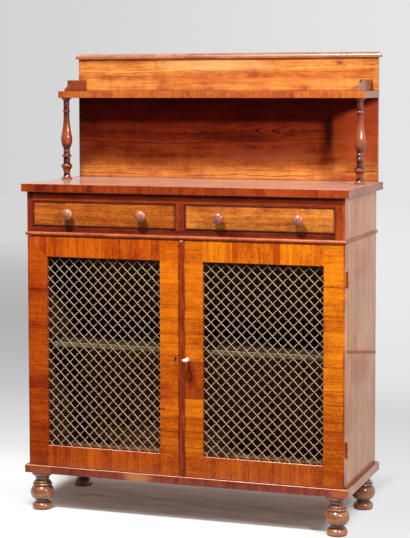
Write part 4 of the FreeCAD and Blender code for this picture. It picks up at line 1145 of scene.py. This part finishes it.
FOOT = (
    (0.0, 0.0), (27.7, 0.0), (29.7, 7.5, "arc"), (21.5, 21.0), (19.0, 22.0), (19.0, 26.0), (35.0, 48.0, "arc"),
    (25.0, 69.0), (27.0, 69.6), (28.4, 73.0, "arc"), (26.6, 76.5), (24.0, 77.0), (24.6, 79.5, "arc"),
    (21.0, 83.0), (20.0, 87.0), (20.6, 93.5, "arc"), (26.0, 98.5), (29.6, 102.5, "arc"), (30.6, 107.0),
    (30.6, 110.5), (0.0, 110.5),
)
COLUMN = (
    (0.0, 0.0), (16.6, 0.0), (16.6, 3.0), (11.6, 7.5, "arc"), (9.8, 15.5), (9.2, 17.0), (10.4, 23.5, "arc"),
    (12.7, 30.5), (13.4, 33.0), (16.9, 39.5, "arc"), (12.6, 46.0), (10.1, 47.0), (10.1, 66.0), (15.0, 68.0),
    (15.0, 71.0), (10.6, 74.5, "arc"), (9.2, 80.0), (9.2, 81.5), (10.5, 84.5, "arc"), (9.2, 87.5), (9.2, 91.0),
    (16.3, 110.0, "arc"), (15.4, 132.0), (11.2, 156.0, "arc"), (8.7, 190.0), (8.7, 200.0), (10.7, 203.5, "arc"),
    (8.7, 207.0), (8.7, 233.0), (10.0, 236.6, "arc"), (14.5, 239.5), (14.5, 243.0), (0.0, 243.0),
)
KNOB = (
    (0.0, 0.0), (9.5, 0.0), (9.5, 2.5), (6.6, 7.0, "arc"), (10.5, 12.0), (16.0, 17.5, "arc"), (14.2, 23.0),
    (8.2, 27.2, "arc"), (2.0, 29.0), (0.0, 29.0),
)


def arc_points(start, middle, end):
    """Points along the circle through three stations, after the first one."""
    (ax, ay), (bx, by), (cx, cy) = start, middle, end
    double_area = 2 * (ax * (by - cy) + bx * (cy - ay) + cx * (ay - by))
    a2, b2, c2 = ax * ax + ay * ay, bx * bx + by * by, cx * cx + cy * cy
    mx = (a2 * (by - cy) + b2 * (cy - ay) + c2 * (ay - by)) / double_area
    my = (a2 * (cx - bx) + b2 * (ax - cx) + c2 * (bx - ax)) / double_area
    radius = math.hypot(ax - mx, ay - my)
    first, half, last = (math.atan2(y - my, x - mx) for x, y in (start, middle, end))
    sweep = (last - first) % math.tau
    if (half - first) % math.tau > sweep:
        sweep -= math.tau
    turns = [first + sweep * step / ARC_STEPS for step in range(1, ARC_STEPS + 1)]
    return [(mx + radius * math.cos(turn), my + radius * math.sin(turn)) for turn in turns]


def outline_points(stations):
    points = []
    for index, station in enumerate(stations):
        if len(station) == 3:
            continue
        if index and len(stations[index - 1]) == 3:
            points += arc_points(points[-1], stations[index - 1][:2], station)
        else:
            points.append(station)
    return points


def spun(node, stations, material, place):
    """Turn an outline round +Z, carry it to its place with a matrix and put it over its CAD piece."""
    bm = bmesh.new()
    corners = [bm.verts.new((radius * MM, 0, height * MM)) for radius, height in outline_points(stations)]
    edges = [bm.edges.new(pair) for pair in zip(corners, corners[1:])]
    bmesh.ops.spin(
        bm, geom=corners + edges, axis=(0, 0, 1), cent=(0, 0, 0), angle=math.tau, steps=LATHE_STEPS, use_merge=True
    )
    bmesh.ops.remove_doubles(bm, verts=bm.verts, dist=WELD / 2)
    bmesh.ops.recalc_face_normals(bm, faces=bm.faces)
    bmesh.ops.transform(bm, matrix=place, verts=bm.verts)
    made = piece(f"{node}_turned", bm, material, BODY_OF[node], SLOT_OF[node])
    made.data.set_sharp_from_angle(angle=math.radians(35))
    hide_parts(node)


for name, stations in (("foot", FOOT), ("column", COLUMN), ("knob", KNOB)):
    print(name, "outline of", len(outline_points(stations)), "points")

# %% [markdown]
# ## Feet, columns and knobs
# The finish of a turned piece follows the height: its own colour on every ring and on the ball, and painted
# shade, nearly black, in the grooves between. The knobs need no bands.

# %% Feet, columns and knobs
# Painted shade in the grooves of the feet, by height.
FOOT_SHADE_BANDS = (
    (0, 0.6), (8, 0.9), (16, 0.7), (22, 0.22), (26, 0.25), (32, 1.0), (42, 1.0), (52, 0.62), (66, 0.5), (69, 0.2),
    (73, 0.85), (77, 0.2), (80, 0.6), (86, 0.3), (94, 0.6), (104, 0.9), (111, 0.5),
)
# Painted shade in the grooves of the columns, by height.
COLUMN_SHADE_BANDS = (
    (950, 0.9), (956, 1.0), (960, 0.15), (966, 0.12), (974, 0.95), (981, 0.7), (984, 0.15), (990, 1.0), (996, 0.1),
    (1006, 0.34), (1016, 0.12), (1020, 1.0), (1024, 0.12), (1030, 0.1), (1035, 1.0), (1040, 0.05), (1048, 0.25),
    (1060, 0.9), (1100, 1.0), (1140, 0.55), (1150, 0.2), (1154, 1.0), (1158, 0.2), (1178, 0.45), (1186, 0.1),
    (1190, 1.0), (1194, 1.0),
)
QUARTER_TURN = Matrix.Rotation(math.radians(90), 4, "X")
TOP_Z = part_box("main_top")[1].z
FOOT_FINISH = dict(mean=(192, 116, 60), gloss=0.17, shine=0.35, thick=1.7, marks=[shade_bands(FOOT_SHADE_BANDS, 1.4)])
COLUMN_FINISH = dict(
    mean=(148, 66, 26), gloss=0.12, shine=0.3, thick=1.55, fleck=0.6, marks=[shade_bands(COLUMN_SHADE_BANDS, 2.0)]
)
KNOB_FINISH = dict(mean=(172, 98, 66), gloss=0.22, shine=0.25, thick=1.55, rings=80, coat=0.9)


def turned(node, stations, seed, place, axes="ZXY", coat=1.0, **finish):
    """Spin a piece in polished wood of its own."""
    polished = wood(f"{node}_polish", axes, seed=seed, coat=coat, lines=0.2, stripe=0.4, **finish)
    spun(node, stations, polished, place)


for number, corner in enumerate(("front_left", "front_right", "back_left", "back_right")):
    place = Matrix.Translation((*middle_of(f"foot_{corner}").xy, 0))
    turned(f"foot_{corner}", FOOT, number * 1.3, place, **FOOT_FINISH)
for number, side in enumerate(SIDES):
    place = Matrix.Translation((*middle_of(f"column_{side}").xy, TOP_Z))
    turned(f"column_{side}", COLUMN, number + 5.5, place, **COLUMN_FINISH)
for side in SIDES:
    for number, letter in enumerate("ab"):
        node = f"drawer_{side}_knob_{letter}"
        x, _, z = middle_of(node)
        place = Matrix.Translation((x, FACE, z)) @ QUARTER_TURN
        turned(node, KNOB, number + 9.0, place, axes="YXZ", **KNOB_FINISH)
print("columns stand at", round(TOP_Z, 4))

# %% [markdown]
# ## Drawers
# The drawer fronts are golden veneer with a few dark lines. A cock bead, a thin strip of darker wood, stands
# proud all round each front and keeps its veneer from chipping. The box behind is bare pale wood, because
# polish would rub off on linen.

# %% Drawers
FRONTS = {
    "left": ((176, 88, 24), ((893, 10, 2.2, 0.5), (886, 12, 1.6, 0.5), (846, 10, 1.6, 0.4))),
    "right": ((190, 104, 36), ((880, 10, 1.4, 0.3), (850, 8, 1.4, 0.3))),
}
BARE = (192, 142, 88)
for number, side in enumerate(SIDES):
    front, beads = f"drawer_{side}_front", f"drawer_{side}_cock_bead"
    mean, lines = FRONTS[side]
    marks = [streak("XZ", *line) for line in lines]
    veneered(front, dict(width=0.3), "XZY", mean, marks, rings=80, lines=0.3, seed=3.3 + number * 4)
    veneered(beads, dict(width=1.0), "XZY", (104, 34, 14), rings=80, seed=number, coat=1.0)
    eased(f"drawer_{side}_box", plain_wood(f"drawer_{side}_lining", "YXZ", BARE, seed=number), 0.5)

# %% [markdown]
# ## Hinges, lock and bolts
# Butt hinges are cast brass, filed flat and browned by the polish that was wiped over them. The key is bright
# from use. The lock is an iron box, its bolt and the two flush bolts are brass. Their CAD shapes are true
# already, so they only need smooth shading up to their real edges.

# %% Metalwork
for side in SIDES:
    smoothed(f"case_hinges_{side}", DULL_BRASS)
    smoothed(f"door_hinges_{side}", DULL_BRASS)
smoothed("key", KEY_BRASS)
for node in ("lock_bolt", "flush_bolt_upper", "flush_bolt_lower"):
    smoothed(node, BRASS)
smoothed("lock_case", IRON)
print("key axis at", [round(v, 4) for v in middle_of("key")])

# %% [markdown]
# ## Hinge screws
# Three slotted screws hold each leaf of a hinge. They are too small to matter for strength, so the construction
# leaves them out. A head is two half discs with a gap for the slot between them, and each slot lies another way,
# as a hand leaves it. A head stands three tenths of a millimetre proud, so it clears the leaf that closes on it.

# %% Hinge screws
DOOR_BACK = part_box("door_left_hinge_stile")[1].y
CASE_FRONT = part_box("side_left")[0].y
HINGE_HEIGHTS = (0.2365, 0.704)
SCREW_STEP, SCREW_RADIUS, SCREW_TALL = 15.5 * MM, 2.7 * MM, 0.3 * MM
OUTER_INSET, MIDDLE_INSET = 8.5 * MM, 11.5 * MM
SLOT_SHARE = 0.14


def raise_faces(bm, tall):
    """Thicken flat faces along +Z."""
    raised = bmesh.ops.extrude_face_region(bm, geom=bm.faces[:])["geom"]
    top = [item for item in raised if isinstance(item, bmesh.types.BMVert)]
    bmesh.ops.translate(bm, vec=(0, 0, tall), verts=top)
    bmesh.ops.recalc_face_normals(bm, faces=bm.faces)


def cut(bm, point, normal, **cleared):
    """Cut a mesh by a plane and clear what lies on one side of it."""
    bmesh.ops.bisect_plane(
        bm, geom=bm.verts[:] + bm.edges[:] + bm.faces[:], plane_co=point, plane_no=normal, **cleared
    )


def add_screw(bm, middle, way):
    """A slotted screw head that looks along -Y or +Y, as way says."""
    tilt = Matrix.Rotation(0.6 + middle[2] * 40, 4, "Y")
    turn = Matrix.Rotation(math.radians(-90 * way), 4, "X")
    for half in (1, -1):
        disc = bmesh.new()
        bmesh.ops.create_circle(disc, cap_ends=True, segments=20, radius=SCREW_RADIUS)
        cut(disc, (0, SCREW_RADIUS * SLOT_SHARE * half, 0), (0, half, 0), clear_inner=True)
        raise_faces(disc, SCREW_TALL)
        bmesh.ops.transform(disc, matrix=Matrix.Translation(middle) @ tilt @ turn, verts=disc.verts)
        loose = bpy.data.meshes.new("screw_half")
        disc.to_mesh(loose)
        disc.free()
        bm.from_mesh(loose)
        bpy.data.meshes.remove(loose)


for side, sign in (("left", -1), ("right", 1)):
    for body, y, way in (("case", CASE_FRONT, -1), (f"door_{side}", DOOR_BACK, 1)):
        bm = bmesh.new()
        for height in HINGE_HEIGHTS:
            for step in (-SCREW_STEP, 0.0, SCREW_STEP):
                x = (SIDE_X - (OUTER_INSET if step else MIDDLE_INSET)) * sign
                add_screw(bm, (x, y - 0.1 * MM * way, height + step), way)
        piece(f"hinge_screws_{side}_{body}", bm, BRASS, body, "brass_fittings", smooth=False)
print("hinge screws on both sides; gap behind the doors", round((CASE_FRONT - DOOR_BACK) / MM, 2), "mm")

# %% [markdown]
# ## Keyhole linings and strike plate
# A keyhole is lined with thin brass so that the key doesn't wear the wood, and a brass frame round the pocket
# takes the bolt on the other door. A lining is a ring, opened at the bottom, over two straight flanks and a
# foot. All these plates stand only a few hundredths or tenths of a millimetre proud, so the doors still close.

# %% Keyhole linings and strike plate
EYE, SLOT, DROP, RIM = 3.2 * MM, 1.9 * MM, 11.0 * MM, 1.2 * MM
LINING_TALL, RING_CUT = 0.35 * MM, 2.6 * MM
FLANK_TOP = 2.4 * MM
LINING_Y = FACE - 0.125 * MM
KEY_Z, BLIND_X = 0.468, -0.0175
PLATE, END_TALL, FLANK_WIDE, FLANK_TALL = 0.2 * MM, 9 * MM, 1.6 * MM, 11 * MM
END_OFF, FLANK_OFF = 9.8 * MM, 3.7 * MM


def add_plate(bm, size, middle):
    """A thin plate, by its full sizes and its middle in metres."""
    place = Matrix.Translation(middle) @ Matrix.Diagonal((*size, 1.0))
    bmesh.ops.create_cube(bm, size=1.0, matrix=place)


for body, x in (("door_right", middle_of("key").x), ("door_left", BLIND_X)):
    bm = bmesh.new()
    for radius in (EYE, EYE + RIM):
        bmesh.ops.create_circle(bm, segments=32, radius=radius)
    bmesh.ops.bridge_loops(bm, edges=bm.edges[:])
    cut(bm, (0, -RING_CUT, 0), (0, -1, 0), clear_outer=True)
    raise_faces(bm, LINING_TALL)
    stand = Matrix.Translation((x, FACE + 0.05 * MM, KEY_Z)) @ QUARTER_TURN
    bmesh.ops.transform(bm, matrix=stand, verts=bm.verts)
    for hand in (-1, 1):
        middle = (x + hand * (SLOT + RIM / 2), LINING_Y, KEY_Z - (FLANK_TOP + DROP) / 2)
        add_plate(bm, (RIM, LINING_TALL, DROP - FLANK_TOP), middle)
    add_plate(bm, (2 * (SLOT + RIM), LINING_TALL, RIM), (x, LINING_Y, KEY_Z - DROP - RIM / 2))
    piece(f"keyhole_lining_{body}", bm, BRASS, body, "brass_fittings", smooth=False)

bolt = middle_of("lock_bolt")
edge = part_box("door_left_meeting_stile")[1].x
bm = bmesh.new()
for hand in (-1, 1):
    add_plate(bm, (PLATE, END_TALL, END_TALL), (edge + PLATE / 4, bolt.y, bolt.z + hand * END_OFF))
    for flank in (-1, 1):
        add_plate(bm, (PLATE, FLANK_WIDE, FLANK_TALL), (edge + PLATE / 4, bolt.y + flank * FLANK_OFF, bolt.z))
piece("strike_plate", bm, BRASS, "door_left", "brass_fittings", smooth=False)
print("keyhole linings on both doors, strike plate at", [round(v, 4) for v in (edge, bolt.y, bolt.z)])

# %% [markdown]
# ## Joints and nails
# A drawer's sides are dovetailed to its front: between the tails of the side show the ends of the pins, in the
# darker wood of the front. The boards of the back are nailed to the bottom, to the shelf and to the drawer rail.

# %% Dovetail pins and back nails
PINS = 4
PIN_SIZE = (0.3 * MM, 9 * MM, 4.5 * MM)
PIN_FLARE = 1.9
BOARDS = 4
NAIL_SHARES = (0.12, 0.88)
pin_wood = plain_wood("dovetail_pin_wood", "YXZ", (120, 62, 32), seed=5.0)
for side in SIDES:
    low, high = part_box(f"drawer_{side}_box")
    bm = bmesh.new()
    for x, way in ((low.x, -1), (high.x, 1)):
        for number in range(PINS):
            z = low.z + (high.z - low.z) * (number + 0.5) / PINS
            pin = bmesh.ops.create_cube(bm, size=1.0)["verts"]
            bmesh.ops.scale(bm, vec=PIN_SIZE, verts=pin)
            back = [vertex for vertex in pin if vertex.co.y > 0]
            bmesh.ops.scale(bm, vec=(1, 1, PIN_FLARE), verts=back)
            bmesh.ops.translate(bm, vec=(x - way * 0.05 * MM, low.y + 4.6 * MM, z), verts=pin)
    piece(f"drawer_{side}_pins", bm, pin_wood, f"drawer_{side}", SLOT_OF[f"drawer_{side}_box"], smooth=False)

low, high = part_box("case_back")
rows = [middle_of(node).z for node in ("cupboard_bottom", "inner_shelf", "dust_board")]
lean_back = Matrix.Rotation(math.radians(-90), 4, "X")
bm = bmesh.new()
for number in range(BOARDS):
    for share in NAIL_SHARES:
        for row in rows:
            x = low.x + (high.x - low.x) / BOARDS * (number + share)
            bmesh.ops.create_cone(
                bm, cap_ends=True, segments=12, radius1=2.4 * MM, radius2=1.8 * MM, depth=0.8 * MM,
                matrix=Matrix.Translation((x, high.y + 0.3 * MM, row)) @ lean_back,
            )
piece("back_board_nails", bm, IRON, "case", "iron_lock", smooth=False)
print("four boards nailed in", len(rows), "rows")

# %% [markdown]
# ## The floor
# A pale floor that runs out of sight stands in for the studio. Near the piece it takes light and the piece's
# shadow, and under the piece its paint is darker and brown, a painted shadow, with a faint glow that paints the
# brown light polished wood throws down. Farther back it glows by itself, at grey levels laid out by distance, so
# that it fades into the wall without an edge; on the left these greys dip into a painted shadow band. Only the
# camera and mirrors see this: for stray light the floor is dark, or it would light the piece from below.

# %% Floor
FLOOR_HALF = 12.0
UNLIT, DARK_MIRROR, OPEN_FLOOR = grey(0.10), grey(0.02), (0.70, 0.71, 0.72, 1.0)
# Painted shadow: the paint under the piece, lighter at the front and darker at the back.
SHADOW_FRONT, SHADOW_BACK = (0.50, 0.42, 0.38, 1.0), (0.24, 0.165, 0.14, 1.0)
# A painted glow for the brown light that the underside throws onto the floor.
PAINTED_BOUNCE = (0.150, 0.104, 0.088, 1.0)
WALL_LEVEL = 0.94
# The left run dips into a painted shadow band farther back.
LEFT_RUN = (
    (-0.6, 255), (0.2, 250), (0.55, 236), (1.0, 218), (1.6, 198), (2.4, 184), (3.6, 178), (5.4, 190), (7.3, 213),
    (12.0, 214),
)
RIGHT_RUN = (
    (-0.6, 255), (-0.25, 240), (0.1, 232), (0.6, 228), (1.0, 221), (1.5, 214), (2.2, 228), (3.7, 233),
    (5.4, 235), (7.3, 235), (12.0, 231),
)


def grey_run(g, value, levels):
    """Grey levels, given as screen values from 0 to 255, at places in metres."""
    start, stop = levels[0][0], levels[-1][0]
    stops = [((place - start) / (stop - start), colour(level, level, level)) for place, level in levels]
    return g.ramp(g.share(value, start, stop), stops)


bm = bmesh.new()
bmesh.ops.create_grid(bm, x_segments=1, y_segments=1, size=FLOOR_HALF)
floor_mesh = bpy.data.meshes.new("floor")
bm.to_mesh(floor_mesh)
bm.free()
floor = bpy.data.objects.new("floor", floor_mesh)
bpy.context.scene.collection.objects.link(floor)
floor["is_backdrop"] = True

floor_material = bpy.data.materials.new("studio_floor")
floor_mesh.materials.append(floor_material)
g = fresh_graph(floor_material)
x, y, _ = g.xyz()
path = g.node("LightPath").outputs
# Rays of the camera and of mirrors; in mirrors seen from in front the floor is dark; under the piece the paint is
# darker, a painted shadow.
seen = g.highest(path["Is Camera Ray"], path["Is Glossy Ray"], path["Is Transmission Ray"])
front = g.times(path["Is Glossy Ray"], g.window(y, -0.85, -0.4, 1.0, 0.0))
under = g.times(
    g.window(x, 0.46, 0.36), g.window(x, -0.54, -0.48), g.window(y, -0.128, -0.108), g.window(y, 0.30, 0.18)
)
lit = g.mix(under, OPEN_FLOOR, g.mix(g.window(y, -0.11, 0.04), SHADOW_FRONT, SHADOW_BACK))
paint = g.node("BsdfDiffuse", {"Color": g.mix(seen, UNLIT, g.mix(front, lit, DARK_MIRROR))})
# A faint uneven glow under the piece paints the brown light bounced from its underside.
bounce_mottle = g.window(g.noise(g.place(), (7.0, 26.0, 1.0), 3.0, 0.6), 0.3, 0.7, 0.75, 1.15)
strength = g.times(under, seen, bounce_mottle, g.window(y, -0.13, 0.06, 0.95, 0.75))
painted_bounce = g.node("Emission", {"Color": PAINTED_BOUNCE, "Strength": strength})
near = g.node("AddShader", (paint.outputs[0], painted_bounce.outputs[0]))
# Far off the floor glows: one run of greys on the left, one on the right, the wall's own grey at the sides.
across = g.window(g.times_plus(y, 0.22, x), -1.1, 0.5)
tint = g.mix(across, grey_run(g, y, LEFT_RUN), grey_run(g, y, RIGHT_RUN))
aside = g.highest(g.window(g.times_plus(y, 0.5, x), -3.0, -6.0), g.window(x, 2.0, 4.0))
glow = g.node("Emission", {"Color": g.mix(aside, tint, grey(WALL_LEVEL)), "Strength": 1.0})
# The glow starts behind and beside the piece and, for the camera alone, in front and on the left as well.
beyond = g.times(seen, g.highest(g.window(y, 0.25, 0.65), g.window(x, 0.37, 0.47)))
around = g.highest(g.window(y, -1.2, -2.4), g.window(x, -1.0, -2.2))
around = g.times(around, path["Is Camera Ray"])
blend = g.node("MixShader", (g.highest(beyond, around), near.outputs[0], glow.outputs[0]))
g.node("OutputMaterial", {"Surface": blend.outputs[0]})
print("floor of", 2 * FLOOR_HALF, "m with", len(g.tree.nodes), "nodes")

# %% [markdown]
# ## The room
# Polished wood mirrors what stands round it, so the room matters as much as the lamps. It is dark in front,
# bright behind and above, and has a wide light wall and a tall narrow window on the right, which put the long
# highlights on columns and feet. The camera itself sees a plain wall instead.

# %% World
DARKEST = 0.02
world = bpy.data.worlds.new("studio")
bpy.context.scene.world = world
g = fresh_graph(world)
sideways, ahead, upward = g.xyz(g.node("TexCoord").outputs["Generated"])
# What the camera sees: greyer towards the left of the main view, plain elsewhere.
wall = g.less(g.window(sideways, -0.50, -0.18, 0.64, 0.79), WALL_LEVEL)
wall = g.times_plus(g.window(ahead, 0.3, 0.7), wall, WALL_LEVEL)
# What lights and mirrors see: the room behind and above, the light wall beside, and the window's pane.
behind = g.window(ahead, -0.05, 0.30, 0.0, 0.72)
above = g.window(upward, 0.45, 0.75, 0.0, 0.55)
beside = g.times(g.window(sideways, 0.50, 0.72, 0.0, 1.1), g.window(ahead, -0.12, 0.06))
pane = g.times(
    g.window(ahead, -0.42, -0.36), g.window(ahead, -0.24, -0.18, 1.0, 0.0), g.window(sideways, 0.6, 0.7, 0.0, 3.0),
    g.window(upward, -0.2, -0.1), g.window(upward, 0.5, 0.6, 1.0, 0.0),
)
room = g.highest(behind, above, beside, pane, DARKEST)
level = g.times_plus(g.node("LightPath").outputs["Is Camera Ray"], g.less(wall, room), room)
background = g.node("Background", {"Color": grey(1.0), "Strength": level})
g.node("OutputWorld", {"Surface": background.outputs[0]})
print("room of", len(g.tree.nodes), "nodes")


# %% [markdown]
# ## Lamps
# One big lamp high in front lights the whole piece and gives the shelf its soft shadow. A small weak one on the
# right, hardly higher than the piece, draws the columns' shadows on the back panel. A lamp's radius sets how
# soft the edge of a shadow is.

# %% Lamps
def lamp(name, place, power, radius):
    """A round lamp, by its place and radius in metres and its power in watts."""
    light = bpy.data.lights.new(name, "POINT")
    light.energy = power
    light.shadow_soft_size = radius
    made = bpy.data.objects.new(name, light)
    bpy.context.scene.collection.objects.link(made)
    made.location = place
    made.visible_camera = False


lamp("key_light", (-0.15, -2.2, 4.2), 1000, 0.25)
lamp("side_light", (2.0, -1.5, 1.9), 150, 0.12)
print(len(bpy.data.lights), "lamps")

# %% [markdown]
# ## The camera
# The camera stands at the height of a low shelf, to the right of the piece, and looks slightly down. Tilting it
# further would make the upright edges lean, so the lens is shifted instead, as on a view camera: its axis meets
# the image above the middle, and the feet still fit in.

# %% Camera
IMAGE_HEIGHT = 538
AXIS_ROW = 200
FOCAL_PIXELS = 1639.87
SENSOR = 36.0
TURNED_LEFT, TILTED_DOWN, ROLLED = math.radians(19.2907), math.radians(4.024), -0.0022
camera = bpy.data.cameras.new("camera")
camera.sensor_fit = "VERTICAL"
camera.sensor_height = SENSOR
camera.lens = FOCAL_PIXELS / IMAGE_HEIGHT * SENSOR
camera.shift_y = -(IMAGE_HEIGHT / 2 - AXIS_ROW) / IMAGE_HEIGHT
viewer = bpy.data.objects.new("camera", camera)
bpy.context.scene.collection.objects.link(viewer)
turn = Matrix.Rotation(TURNED_LEFT, 4, "Z") @ Matrix.Rotation(math.pi / 2 - TILTED_DOWN, 4, "X")
turn = turn @ Matrix.Rotation(ROLLED, 4, "Z")
viewer.matrix_world = Matrix.Translation((1.56446, -4.44196, 1.23205)) @ turn
bpy.context.scene.camera = viewer
bpy.context.scene.view_settings.view_transform = "Standard"
print("lens", round(camera.lens, 2), "mm, shift", round(camera.shift_y, 4))

# %% [markdown]
# ## Sizes and finish
# Last, the box of everything dressed is printed: a finish may round an edge, but it must not make the piece
# bigger.

# %% Sizes and finish
low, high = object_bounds()
print("visual box", [round(v, 4) for v in (*low, *high)])
